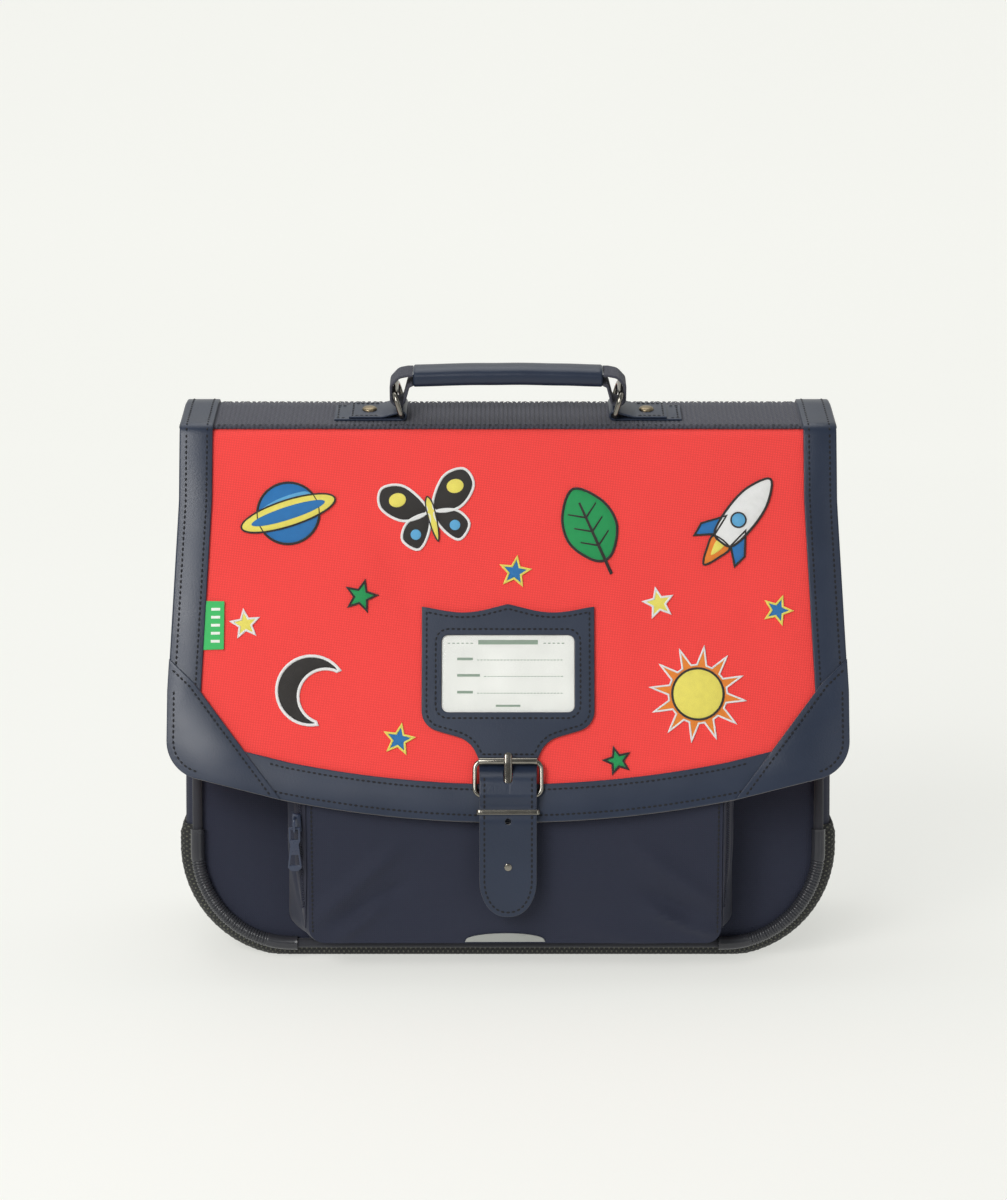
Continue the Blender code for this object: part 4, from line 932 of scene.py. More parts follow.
def build_guards():
    """Moulded tubes on the lower front corners, ribbed round the bend and plain at both ends."""
    points = [p for p in seam_path(lambda z: front_y(z) - PIPING, GUARD_TOP, 0.3)
              if p[0] < -(HALF_WIDTH - CORNER - GUARD_REACH)]
    lengths = run_lengths(points)
    shell = PIPING + GAP + GUARD_WALL
    lip_share, lip_length = GUARD_LIP

    def swell(i):
        inside = min(ease((lengths[i] - GUARD_PLAIN_END) / 2.0),
                     ease((lengths[-1] - GUARD_PLAIN_END - lengths[i]) / 2.0))
        lip = lip_share * max(0.0, 1.0 - min(lengths[i], lengths[-1] - lengths[i]) / lip_length)
        groove = (0.5 + 0.5 * math.cos(2 * math.pi * lengths[i] / GUARD_RIB_PITCH)) ** 2
        return 1.0 + lip - GUARD_GROOVE * inside * groove

    for side, label in ((1, "left"), (-1, "right")):
        path = [(p[0] * side, p[1], p[2]) for p in points]
        build_tube("guard_tube_" + label, path, circle(shell, 20), LOOKS["guard"], "grey_plastic",
                   "corner_guard_" + label, swell)


# Pocket

FLAP_SLOPE = (FOLD[0] - FLAP_FOOT[0]) / (FOLD[1] - FLAP_FOOT[1])


def flap_plane_y(z):
    return FLAP_FOOT[0] + FLAP_SLOPE * (z - FLAP_FOOT[1])


def pocket_front_y(z):
    return max(POCKET_FRONT_Y, flap_plane_y(z) + FLAP_THICKNESS + POCKET_BEHIND_FLAP)


def pocket_bend_z():
    """Height at which the flap begins to press the pocket in."""
    return FLAP_FOOT[1] + (POCKET_FRONT_Y - FLAP_THICKNESS - POCKET_BEHIND_FLAP - FLAP_FOOT[0]) / FLAP_SLOPE


def pocket_pinch(z):
    """How the shoulder seam draws in towards the pocket's foot, as a share of its half width."""
    return 1.0 - POCKET_PINCH * (1.0 - ease((z - POCKET_FOOT) / PINCH_RISE))


def pocket_y(z, seam):
    if seam == "back":
        return front_y(z) - GAP
    return pocket_front_y(z) + (POCKET_BEVEL if seam == "shoulder" else 0.0)


# Soft folds of the pocket's face: ends as shares of its half width and of its visible height, their
# breadth and their height in millimetres
POCKET_FOLDS = (
    # from across, up, to across, up, breadth, height
    (-0.98, 0.12, -0.56, 0.52, 5.0, 3.7),
    (-0.86, 0.02, -0.62, 0.24, 4.0, 3.2),
    (-0.84, 0.10, -0.52, 0.34, 4.0, -2.6),
    (0.98, 0.05, 0.66, 0.18, 4.0, 4.0),
    (0.98, 0.20, 0.58, 0.52, 5.5, 3.4),
    (0.90, 0.10, 0.62, 0.30, 4.5, -2.9),
    (-0.30, 0.10, 0.10, 0.22, 12.0, 1.3),
    (-0.05, 0.34, 0.50, 0.28, 14.0, 1.3),
    (0.70, 0.00, 0.30, 0.10, 6.0, 1.6),
)


def fold_height(folds, x, z, half, height):
    total = 0.0
    for x0, z0, x1, z1, breadth, rise in folds:
        start = Vector((x0 * half, z0 * height))
        run = Vector((x1 * half, z1 * height)) - start
        off = Vector((x, z)) - start
        share = off.dot(run) / run.length_squared
        reach = abs(off.cross(run)) / run.length
        if -0.2 < share < 1.2:
            total += rise * math.exp(-(reach / breadth) ** 2) * ease(min(share + 0.2, 1.2 - share) / 0.5)
    return total


def pocket_rows(seam, arc_rows=8, straight_rows=70):
    half, _ = POCKET_SEAMS[seam]
    return u_rows(half, POCKET_FOOT, POCKET_CORNER, POCKET_TOP, arc_rows, straight_rows)


def pocket_puff(x, z):
    """Out from the pocket's plain face: folds, a soft belly and slight unevenness."""
    half, shift = POCKET_SEAMS["front"]
    inside = ease(min(half - abs(x - shift), z - POCKET_FOOT) / 14.0)
    belly = 1.6 * (1.0 - ((x - shift) / half) ** 4) * math.sin(math.pi * min(1.0, (z - POCKET_FOOT) / 150.0))
    folds = fold_height(POCKET_FOLDS, x - shift, z - POCKET_FOOT, half, POCKET_SHOWS)
    under_flap = 1.0 - 0.85 * ease((z - POCKET_FLAT_FROM) / 16.0)
    return (belly * inside + folds * ease(min(half - abs(x - shift), z - POCKET_FOOT + 3.0) / 5.0)
            + 0.35 * wave(x, 0.0, z, 26.0) * inside) * under_flap


def build_pocket():
    bm = bmesh.new()
    columns = 90
    shift = POCKET_SEAMS["front"][1]
    u_panel(bm, pocket_rows("front"), columns,
            lambda x, z: (x + shift, pocket_y(z, "front") - pocket_puff(x + shift, z), z))
    edges = {seam: u_edge(pocket_rows(seam), columns) for seam in POCKET_SEAMS}
    spine = run_lengths(edges["front"])

    def seam_point(seam, i):
        x, z = edges[seam][i]
        lead = x * (pocket_pinch(z) if seam == "shoulder" else 1.0) + POCKET_SEAMS[seam][1]
        y = pocket_y(z, seam)
        if seam == "front":
            y -= pocket_puff(lead, z)
        return Vector((lead, y, z))

    def strip(a, b, count, bulge, low_u, high_u):
        def place(i, j):
            share = j / (count - 1)
            first, last = seam_point(a, i), seam_point(b, i)
            point = first.lerp(last, share)
            out = Vector((edges[a][i][0], 0.0, min(0.0, edges[a][i][1] - POCKET_FOOT - POCKET_CORNER) * 12.0))
            out.normalize()
            ripple = wave(point.x, point.y, point.z, 16.0) * 0.5
            return point + out * (bulge + ripple) * math.sin(math.pi * share)
        lattice(bm, len(spine), count, place,
                lambda i, j: (spine[i], low_u + (high_u - low_u) * j / (count - 1)))

    strip("front", "shoulder", 9, 0.3, 0.0, 16.0)
    strip("shoulder", "back", 13, 0.4, 16.0, 42.0)
    close_up(bm, caps=False)
    pocket = piece("pocket_cloth", bm, LOOKS["navy"], "navy_fabric", "front_pocket")
    thicken(pocket, 1.4)
    rows = []
    for side in (-1, 1):
        line = [(side, z) for z in (24.0, 60.0, pocket_bend_z(), 150.0, 210.0)]

        def beside(a, z, out, side=side):
            half, middle = POCKET_SEAMS["front"]
            x = middle + side * (half - POCKET_SEAM_INSET) + (a - side)
            return x, pocket_y(z, "front") - pocket_puff(x, z) - out, z

        rows += stitches(line, beside, 0.1, pitch=2.6)
    sew("pocket_stitches", rows)


def zip_place(side, z):
    half_a, shift_a = POCKET_SEAMS["shoulder"]
    half_b, shift_b = POCKET_SEAMS["front"]
    a = Vector((shift_a + side * half_a * pocket_pinch(z), pocket_y(z, "shoulder"), z))
    b = Vector((shift_b + side * half_b, pocket_y(z, "front"), z))
    across = (b - a).normalized()
    outward = Vector((across.y, -across.x, 0.0)) * side * -1.0
    origin = a.lerp(b, ZIP_PLACE)

    def to_world(off, height, out):
        point = origin + across * off + outward * out
        return Vector((point.x, point.y, z + height))
    return to_world


def build_zips():
    heights = [ZIP_FOOT - 4.0, ZIP_FOOT, 33.0, 36.0, 40.0, 45.0, 52.0, 60.0, 75.0, 90.0, pocket_bend_z(),
               125.0, 150.0, 175.0, ZIP_TOP]

    def narrowing(z):
        return max(0.08, min(1.0, (z - ZIP_FOOT + 5.0) / ZIP_TAPER) ** 0.7)

    section = rounded_path(((-6.0, 0.35, 0.2), (4.4, 0.35, 0.2), (4.4, 1.0, 0.2), (1.9, 1.05, 0.3),
                            (0.0, 1.2, 0.3), (-1.9, 1.05, 0.3), (-6.0, 1.0, 0.2)), cyclic=True, step=45.0)
    length, thickness, height = TOOTH
    off_middle, stagger, seat = TOOTH_PLACE
    for side, label in SIDES:
        places = [zip_place(side, z) for z in heights]
        bm = sweep(len(places), section, lambda i, a, b: places[i](a * narrowing(heights[i]), 0.0, b))
        piece("zip_tape_" + label, bm, LOOKS["tape"], "zip_tape", "zip_" + label)
        teeth = []
        for k in range(int((ZIP_TOP - ZIP_FOOT - 10.0) / TOOTH_PITCH)):
            to_world = zip_place(side, ZIP_FOOT + 8.0 + k * TOOTH_PITCH)
            across = to_world(1.0, 0.0, 0.0) - to_world(0.0, 0.0, 0.0)
            out = to_world(0.0, 0.0, 1.0) - to_world(0.0, 0.0, 0.0)
            for hand in (-1, 1):
                here = to_world(hand * off_middle, stagger if hand > 0 else 0.0, seat)
                teeth.append((here, across * length, Vector((0.0, 0.0, thickness)), out * height))
        scatter("zip_coil_" + label, BEAD, teeth, LOOKS["coil"])
    eased_copy("slider_body", "zip_slider", LOOKS["painted"], "slate_metal", 0.28)
    eased_copy("pull_tab", "zip_pull", LOOKS["painted"], "slate_metal", 0.3, body="pull")


def build_reflector():
    half, rise, shift = 23.0, 5.2, -1.7
    low = POCKET_FOOT + 1.0
    turns = [math.radians(degrees) for degrees in range(-75, 76, 10)]
    crest = [(half * math.sin(turn), low + rise * math.cos(turn) ** 0.8) for turn in turns]
    outline = [(-half, low)] + crest + [(half, low)]

    def on_pocket(x, z, out):
        return x + shift, pocket_front_y(z) - pocket_puff(x + shift, z) - out, z

    bm = cut_out(outline[::-1], [], 0.7, 0.3, on_pocket, under=GAP)
    piece("reflective_crescent", bm, [LOOKS["reflector"]] * 2, "silver_reflector",
          "reflective_tab")


# Flap surface

def fine_profile():
    tail_y = BACK_Y + GAP + FLAP_THICKNESS
    corners = ((tail_y, FLAP_TAIL_Z, 0), (tail_y, *BACK_TURN), CROWN, FOLD, (*FLAP_FOOT, 0))
    return [Vector(p) for p in resampled(rounded_path(corners, step=3.0), 6.0)]


PROFILE = fine_profile()
FLAP_DROP = math.hypot(FOLD[0] - FLAP_FOOT[0], FOLD[1] - FLAP_FOOT[1])
STATIONS = [s - run_lengths(PROFILE)[-1] + FLAP_DROP for s in run_lengths(PROFILE)]
TAIL = STATIONS[0]


def profile_normals(points):
    """Directions out from a side view path."""
    turns = [heading(points, i) for i in range(len(points))]
    return [Vector((along.y, -along.x)) for along in turns]


NORMALS = profile_normals(PROFILE)


def edge_curl(x, drop):
    """How far the flap's side edges bend back from its plain face."""
    return EDGE_CURL * max(0.0, (abs(x) - CURL_FROM) / (FLAP_LOW_HALF - CURL_FROM)) ** 2 * ease(drop / 60.0)


def flap_point(x, drop, lift):
    """A point of the flap: x across, drop down its outer face from the fold, lift out from it."""
    i = max(0, min(bisect.bisect_right(STATIONS, drop) - 1, len(PROFILE) - 2))
    share = (drop - STATIONS[i]) / (STATIONS[i + 1] - STATIONS[i])
    point = PROFILE[i].lerp(PROFILE[i + 1], share)
    normal = NORMALS[i].lerp(NORMALS[i + 1], max(0.0, min(1.0, share))).normalized()
    point = point + normal * (lift - edge_curl(x, drop))
    return x, point.x, point.y


def flap_side_half(drop):
    return between(((WIDEN_FROM, FLAP_TOP_HALF), (WIDEN_TO, FLAP_LOW_HALF)), drop)


def lower_edge(x):
    return FLAP_DROP - EDGE_RISE * (x / FLAP_LOW_HALF) ** 2


def half_outline(step=6.0):
    """Right half of the flap's outline in (x, drop), from its side round to its middle."""
    curve = [(PATCH_FOOT_X * k / 24, lower_edge(PATCH_FOOT_X * k / 24)) for k in range(23, -1, -1)]
    corners = [(FLAP_LOW_HALF, WIDEN_TO, 0), (FLAP_LOW_HALF, lower_edge(FLAP_LOW_HALF), FLAP_CORNER),
               (PATCH_FOOT_X, lower_edge(PATCH_FOOT_X), 0)]
    return rounded_path(corners, step=step) + curve


HALF_OUTLINE = half_outline()
EDGE_TABLE = sorted((x, v) for x, v in HALF_OUTLINE if v > WIDEN_TO + 5.0)


def edge_drop(x):
    return between(EDGE_TABLE, abs(x))


def webbing_cover(drop):
    """1 over the webbing strip, 0 off it."""
    return ease((WEBBING_FRONT + 6.5 - drop) / 6.0) * ease((drop - WEBBING_FRONT + WEBBING_DEPTH + 6.0) / 6.0)


# Soft dents of the flap's cloth: middle across and down in millimetres, their two half breadths,
# the slant in degrees and the height
FLAP_DENTS = (
    # across, drop, long, short, slant, height
    (-64.0, 84.0, 30.0, 9.0, 62.0, -0.9),
    (-84.0, 66.0, 34.0, 12.0, 70.0, 0.7),
    (66.0, 128.0, 36.0, 10.0, 80.0, 0.6),
    (-120.0, 176.0, 40.0, 10.0, -28.0, 0.5),
    (112.0, 30.0, 60.0, 16.0, 10.0, 0.5),
    (-30.0, 24.0, 70.0, 18.0, -8.0, -0.5),
    (140.0, 110.0, 40.0, 14.0, 74.0, -0.5),
)


def flap_ripple(x, drop):
    """Height of the flap's cloth over its plain face."""
    dents = 0.0
    for across, down, long, short, slant, height in FLAP_DENTS:
        c, s = math.cos(math.radians(slant)), math.sin(math.radians(slant))
        a, b = x - across, drop - down
        dents += height * math.exp(-((a * c + b * s) / long) ** 2 - ((b * c - a * s) / short) ** 2)
    rise = 0.55 * wave(x, drop, 0.0, 48.0) + 0.16 * wave(x, drop, 9.0, 15.0) + dents
    inner = min(flap_side_half(drop) - BAND - abs(x), edge_drop(x) - BOTTOM_BAND - drop)
    seam = ease(inner / 10.0) * ease((drop - 4.0) / 12.0)
    holder = ease((max(abs(x) - HOLDER_HALF, HOLDER_TOP - drop)) / 8.0)
    return rise * seam * holder + 0.35 * ease(inner / 2.0) * (1.0 - ease((inner - 2.0) / 6.0)) * seam


def build_flap_cloth():
    columns, rows = 150, 190
    trim = 0.5

    def at(i, j):
        even = 2.0 * i / (columns - 1) - 1.0
        u = math.sin(math.pi / 2 * even) * 0.35 + even * 0.65
        foot = edge_drop(u * FLAP_LOW_HALF) - trim
        drop = TAIL + 0.2 + (foot - TAIL - 0.2) * j / (rows - 1)
        return u * (flap_side_half(drop) - trim), drop

    def place(i, j):
        x, drop = at(i, j)
        return flap_point(x, drop, -GAP * 0.3 + flap_ripple(x, drop))

    bm = bmesh.new()
    lattice(bm, columns, rows, place, at)
    close_up(bm, caps=False)
    cloth = piece("flap_cloth", bm, LOOKS["red"], "red_fabric", "flap_panel", sharp=60.0)
    thicken(cloth, 1.7)


def binding(name, line, width, low_at, wrap_at, *nodes):
    """Folded leather along a line of the flap's edge; inward is the line's left."""
    inner_round, outer_round = 0.55, 1.0
    inward = offset_line(line, 1.0)

    def section(i):
        low, foot = low_at(line[i][1]), wrap_at(line[i][1])
        high = low + LEATHER
        corners = ((width, low, 0.1), (0.0, low, 0.1), (0.0, min(foot, low - 0.02), 0.05),
                   (-0.45, min(foot, low - 0.02), 0.2), (-0.45, high, outer_round), (width, high, inner_round))
        return rounded_path(corners, cyclic=True, step=30.0)

    def place(i, a, b):
        x, drop = line[i]
        nx, nd = inward[i][0] - x, inward[i][1] - drop
        return flap_point(x + nx * a, drop + nd * a, b + 0.12 * wave(x, drop, 4.0, 22.0))

    sample = section(len(line) // 2)
    bm = sweep(len(line), section, place,
               tint=lambda i: int(max(sample[i % len(sample)][0], sample[(i + 1) % len(sample)][0]) < -0.25))
    return piece(name, bm, CUT_LEATHER, "navy_leather", *nodes, sharp=50.0)


def band_low(drop):
    return GAP + (WEBBING + GAP) * webbing_cover(drop)


def band_top(drop):
    return band_low(drop) + LEATHER + STITCH_PROUD


def band_wrap(drop):
    bare = 1.0 - ease(webbing_cover(drop) * 3.0)
    return band_low(drop) - 0.02 - (band_low(drop) + FLAP_THICKNESS) * bare


def mirror_line(line, side):
    """The line on one side of the flap, kept with the cloth on its left."""
    return [(side * x, v) for x, v in (line if side > 0 else reversed(line))]


def build_bands():
    drops = [TAIL + 0.3 + k * 2.0 for k in range(int((BAND_END - TAIL) / 2.0))]
    edge = [(flap_side_half(d), d) for d in drops]
    rows = []
    for side, label in SIDES:
        line = mirror_line(edge, side)
        binding("band_" + label, line, BAND, band_low, band_wrap, "side_band_" + label)
        for inset in BAND_SEAMS:
            rows += stitches(offset_line(line, inset), flap_point, band_top)
    lower = [(x, v) for x, v in HALF_OUTLINE if v > BAND_END]
    whole = lower + [(-x, v) for x, v in reversed(lower)][1:]
    whole = resampled(whole, 3.0)
    binding("band_bottom", whole, BOTTOM_BAND - 0.3, lambda _d: GAP, lambda _d: -FLAP_THICKNESS, "bottom_band")
    middle = [p for p in whole if abs(p[0]) < PATCH_FOOT_X + 14.0]
    for inset in BOTTOM_SEAMS:
        rows += stitches(offset_line(middle, inset), flap_point, band_top)
    sew("band_stitches", rows)


def build_patches():
    """Leather corners over the bands."""
    low = GAP + LEATHER + GAP
    curve = [(x, v) for x, v in HALF_OUTLINE if x > PATCH_FOOT_X - 0.1 and v > PATCH_TOP]
    curve = [(flap_side_half(PATCH_TOP), PATCH_TOP)] + curve
    outer = offset_line(curve, -0.5)
    rows = []
    for side, label in SIDES:
        shape = [(side * x, v) for x, v in resampled(outer, 3.0) + list(PATCH_INNER)]
        if side < 0:
            shape.reverse()
        bm = cut_out(shape, [], LEATHER, 0.5, flap_point, under=low)
        piece("corner_leather_" + label, bm, CUT_LEATHER, "navy_leather",
              "corner_patch_" + label)
        top = low + LEATHER + STITCH_PROUD
        slant = [(side * x, v) for x, v in resampled([outer[-1], *PATCH_INNER, outer[0]], 3.0)]
        slant = offset_line(slant, PATCH_SEAMS[0] * side)[2:-2]
        rows += stitches(slant, flap_point, top)
        border = [(side * x, v) for x, v in offset_line(curve, PATCH_SEAMS[1])][1:-1]
        rows += stitches(border, flap_point, top)
    sew("corner_stitches", rows)


def build_webbing():
    """Ribbed webbing over the fold, its ribs running front to back."""
    half = FLAP_TOP_HALF + WEBBING_PROUD
    columns = int(2 * half / (RIB_PITCH / 6)) + 1
    back = WEBBING_FRONT - WEBBING_DEPTH
    rows = 26

    def at(i, j):
        return -half + 2 * half * i / (columns - 1), back + WEBBING_DEPTH * j / (rows - 1)

    def place(i, j):
        x, drop = at(i, j)
        rib = abs(math.sin(math.pi * x / RIB_PITCH)) ** 0.7
        beat = math.pi if int(x / RIB_PITCH) % 2 else 0.0
        cross = 0.5 + 0.5 * math.sin(math.pi * drop / CROSS_RIB[0] + beat)
        edge = min(drop - back, WEBBING_FRONT - drop)
        drop += (0.7 * rib - 0.4) * (1.0 if drop > back + 20.0 else -1.0) * (1.0 - ease(edge / 1.5))
        ends = GAP + WEBBING * (0.55 + 0.45 * ease(edge / 1.6))
        height = ends + RIB_HEIGHT * rib + CROSS_RIB[1] * cross * rib - 0.45
        return flap_point(x, drop, height + 0.25 * wave(x, drop, 2.0, 30.0))

    bm = bmesh.new()
    lattice(bm, columns, rows, place, at)
    close_up(bm, caps=False)
    strip = piece("webbing_ribs", bm, LOOKS["webbing"], "slate_webbing", "webbing_strip", sharp=80.0)
    thicken(strip, 0.9)
    rows = []
    for drop in (WEBBING_FRONT - 2.2, back + 2.2):
        line = [(x, drop) for x in (-half + 4.0, 0.0, half - 4.0)]
        rows += stitches(line, flap_point, GAP + WEBBING + 0.28, pitch=3.4)
    sew("webbing_stitches", rows)


def build_tag():
    inner = -(flap_side_half(98.6) - BAND)
    outline = [(inner - 2.0, 98.6), (inner + 10.5, 98.9), (inner + 10.5, 126.6), (inner - 2.0, 126.8)]
    outline = resampled(outline, 2.0, closed=True)

    def curled(x, drop, lift):
        out = max(0.0, x - inner)
        return flap_point(x, drop, lift + flap_ripple(x, drop) + 0.004 * out * out + 0.1)

    bm = cut_out(outline, [], 0.8, 0.3, curled, under=0.0)
    piece("woven_tag", bm, [LOOKS["tag"]] * 2, "green_weave", "side_tag")
    marks = bmesh.new()
    for k in range(5):
        centre = 103.5 + k * 4.6
        stripe = [(inner + 3.0, centre - 0.8), (inner + 8.2, centre - 0.8), (inner + 8.2, centre + 0.8),
                  (inner + 3.0, centre + 0.8)]
        cut_out(resampled(stripe, 1.2, closed=True), [], 0.25, 0.1, curled, under=0.76, bm=marks)
    piece("tag_stripes", marks, [LOOKS["tag_mark"]] * 2, "green_weave")


# Holder, strap and buckle

def buckle_lift():
    return GAP + LEATHER + GAP + TAB + GAP


def strap_route():
    """Side view of the long leather's middle: along the flap, over the buckle and down to its tip."""
    seat = GAP + HOLDER / 2
    heel = buckle_lift() + BUCKLE_THICKNESS + GAP + PRONG + 2 * GAP + HOLDER / 2
    keeper = buckle_lift() + KEEPER_WIRE + GAP + HOLDER / 2
    knots = ((60.0, seat, 0), (BUCKLE[0] + 3.8, seat, 5.0), (BUCKLE[0] + 11.6, heel - 0.6, 7.0),
             (BUCKLE[1] - 1.0, heel, 5.0), (KEEPER_DROP - 4.0, keeper, 5.0), (KEEPER_DROP + 5.0, keeper, 14.0))
    corners = [(*flap_point(0.0, drop, lift)[1:], radius) for drop, lift, radius in knots]
    corners.append((*STRAP_TIP, 0))
    return [Vector(p) for p in resampled(rounded_path(corners, step=4.0), 5.0)]


ROUTE = strap_route()
ROUTE_AT = [60.0 + s for s in run_lengths(ROUTE)]
ROUTE_NORMALS = profile_normals(ROUTE)


def strap_place(a, along, out):
    """A point of the holder's leather: a across, along from the flap's fold, out from its back."""
    i = max(0, min(bisect.bisect_right(ROUTE_AT, along) - 1, len(ROUTE) - 2))
    share = (along - ROUTE_AT[i]) / (ROUTE_AT[i + 1] - ROUTE_AT[i])
    point = ROUTE[i].lerp(ROUTE[i + 1], share)
    normal = ROUTE_NORMALS[i].lerp(ROUTE_NORMALS[i + 1], max(0.0, min(1.0, share))).normalized()
    point = point + normal * (out - HOLDER / 2)
    return a, point.x, point.y


def along_at_height(z):
    """Length along the strap at a height of its hanging part."""
    for i in range(len(ROUTE) - 1, 0, -1):
        if ROUTE[i - 1].y >= z >= ROUTE[i].y:
            share = (ROUTE[i - 1].y - z) / (ROUTE[i - 1].y - ROUTE[i].y)
            return ROUTE_AT[i - 1] + share * (ROUTE_AT[i] - ROUTE_AT[i - 1])
    return ROUTE_AT[-1]


def holder_edge():
    """Left edge of the holder and strap, from the shield's peak down to the tip."""
    half = HOLDER_HALF
    peak = HOLDER_TOP - 1.5
    top = []
    for share in (k / 16 for k in range(17)):
        dip = 4.6 * math.sin(math.pi * share) ** 1.2 + (HOLDER_TOP - peak) * share ** 3
        top.append((-half * share, peak + dip))
    knots = [(-half, HOLDER_TOP, 0.0), (-half, HOLDER_SHOULDER + 9.0, 12.0),
             (-half * 0.44, HOLDER_SHOULDER + 17.0, 16.0), (-STRAP_HALF - 0.5, HOLDER_NECK + 1.0, 10.0),
             (-STRAP_HALF, HOLDER_NECK + 14.0, 0.0)]
    side = rounded_path(knots, step=8.0)[1:]
    tip = ROUTE_AT[-1]
    start = along_at_height(STRAP_ROUND_FROM)
    rounding = []
    for k in range(15):
        angle = math.radians(90.0 * k / 14)
        rounding.append((-STRAP_HALF * math.cos(angle) ** 0.9 if k < 14 else 0.0,
                         start + (tip - start) * math.sin(angle)))
    return top + side + rounding


def build_holder():
    left = resampled(holder_edge(), 6.0)
    outline = left + [(-x, v) for x, v in reversed(left[1:-1])]
    window = rounded_box(WINDOW_HALF, *WINDOW)
    slot = rounded_box(PRONG_HALF + 0.15, SLOT[0] + 0.4, SLOT[1] - 0.6, 1.6, step=30.0)
    hole = circle(1.7, 18, (0.0, along_at_height(STRAP_HOLE_Z)))
    bends = [ROUTE_AT[i] for i in range(1, len(ROUTE) - 1)
             if ROUTE_AT[i] > 184.0 and (ROUTE[i] - ROUTE[i - 1]).angle(ROUTE[i + 1] - ROUTE[i]) > BEND_TURN]
    bm = cut_out(outline, [window, slot, hole], HOLDER, 0.55, strap_place, bends=bends)
    item = piece("holder_leather", bm, CUT_LEATHER, "navy_leather",
                 "name_holder_strap", sharp=45.0)
    item.modifiers.new("even_shading", "WEIGHTED_NORMAL").keep_sharp = True
    bake_modifiers(item)
    sew_holder(outline)
    disc = circle(2.2, 24, (0.0, along_at_height(EYELET_Z)))
    bm = cut_out(disc[::-1], [], 0.7, 0.45, strap_place, under=HOLDER + 0.02)
    piece("strap_stud", bm, [LOOKS["gunmetal"]] * 2, "gunmetal", "strap_eyelet")


def sew_holder(outline):
    """Stitches round the shield and the strap, round the window and across the neck."""
    rows = []
    top = HOLDER + STITCH_PROUD
    turn = offset_line(outline, math.copysign(HOLDER_SEAM, signed_area(outline)), closed=True)
    shield = [p for p in turn if p[1] < HOLDER_NECK - 1.5]
    strap = [p for p in turn if p[1] > SLOT[1] - 8.0]
    for group in (shield, strap):
        first = next(k for k in range(len(group)) if (Vector(group[k]) - Vector(group[k - 1])).length > 12.0)
        rows += stitches(group[first:] + group[:first], strap_place, top)
    low, high, radius = WINDOW
    ring = rounded_box(WINDOW_HALF + WINDOW_SEAM, low - WINDOW_SEAM, high + WINDOW_SEAM, radius + WINDOW_SEAM)
    rows += stitches(ring, strap_place, top, closed=True)
    neck = [(-STRAP_HALF + 1.0, HOLDER_NECK - 1.5), (STRAP_HALF - 1.0, HOLDER_NECK - 1.5)]
    rows += stitches(neck, strap_place, top)
    sew("holder_stitches", rows)


def signed_area(line):
    return 0.5 * sum(a[0] * b[1] - b[0] * a[1] for a, b in zip(line, line[1:] + line[:1]))


def build_card():
    slack, film_seat = 0.04, 1.15
    shape = rounded_box(WINDOW_HALF - slack, WINDOW[0] + slack, WINDOW[1] - slack, WINDOW[2])
    bm = cut_out(shape, [], 0.4, 0.1, flap_point, under=GAP)
    piece("paper_card", bm, [LOOKS["card"]] * 2, "card", "name_card")
    bm = cut_out(shape, [], 0.3, 0.12, flap_point, under=film_seat)
    piece("window_sheet", bm, [LOOKS["film"]] * 2, "film", "window_film")
    dashes = []
    # drop of each writing line, where it starts and ends, and the pitch of its dashes
    lines = ((123.0, -35.0, 35.0, 2.6), (132.6, -18.0, 33.0, 1.9), (142.0, -14.0, 33.0, 1.9),
             (151.6, -18.0, 33.0, 1.9))
    box = template(lambda b: bmesh.ops.create_cube(b, size=1.0))
    for drop, start, end, pitch in lines:
        header = drop == lines[0][0]
        for k in range(int((end - start) / pitch)):
            x = start + (k + 0.5) * pitch
            if not header or abs(x) >= 20.0:
                dashes.append(print_frame(x, drop, pitch * 0.55, 0.5))
        if not header:
            dashes.append(print_frame((start - 31.0) / 2, drop - 0.6, start + 31.0 - 4.0, 1.5))
    dashes.append(print_frame(0.0, 122.4, 34.0, 2.6))
    dashes.append(print_frame(0.0, 158.8, 14.0, 1.2))
    scatter("card_lines", box, dashes, LOOKS["print"])


def print_frame(x, drop, width, height):
    here = Vector(flap_point(x, drop, GAP + 0.41))
    down = Vector(flap_point(x, drop + 1.0, GAP + 0.41)) - here
    out = Vector(flap_point(x, drop, GAP + 1.41)) - here
    return here, Vector((width, 0.0, 0.0)), down * height, out * 0.04


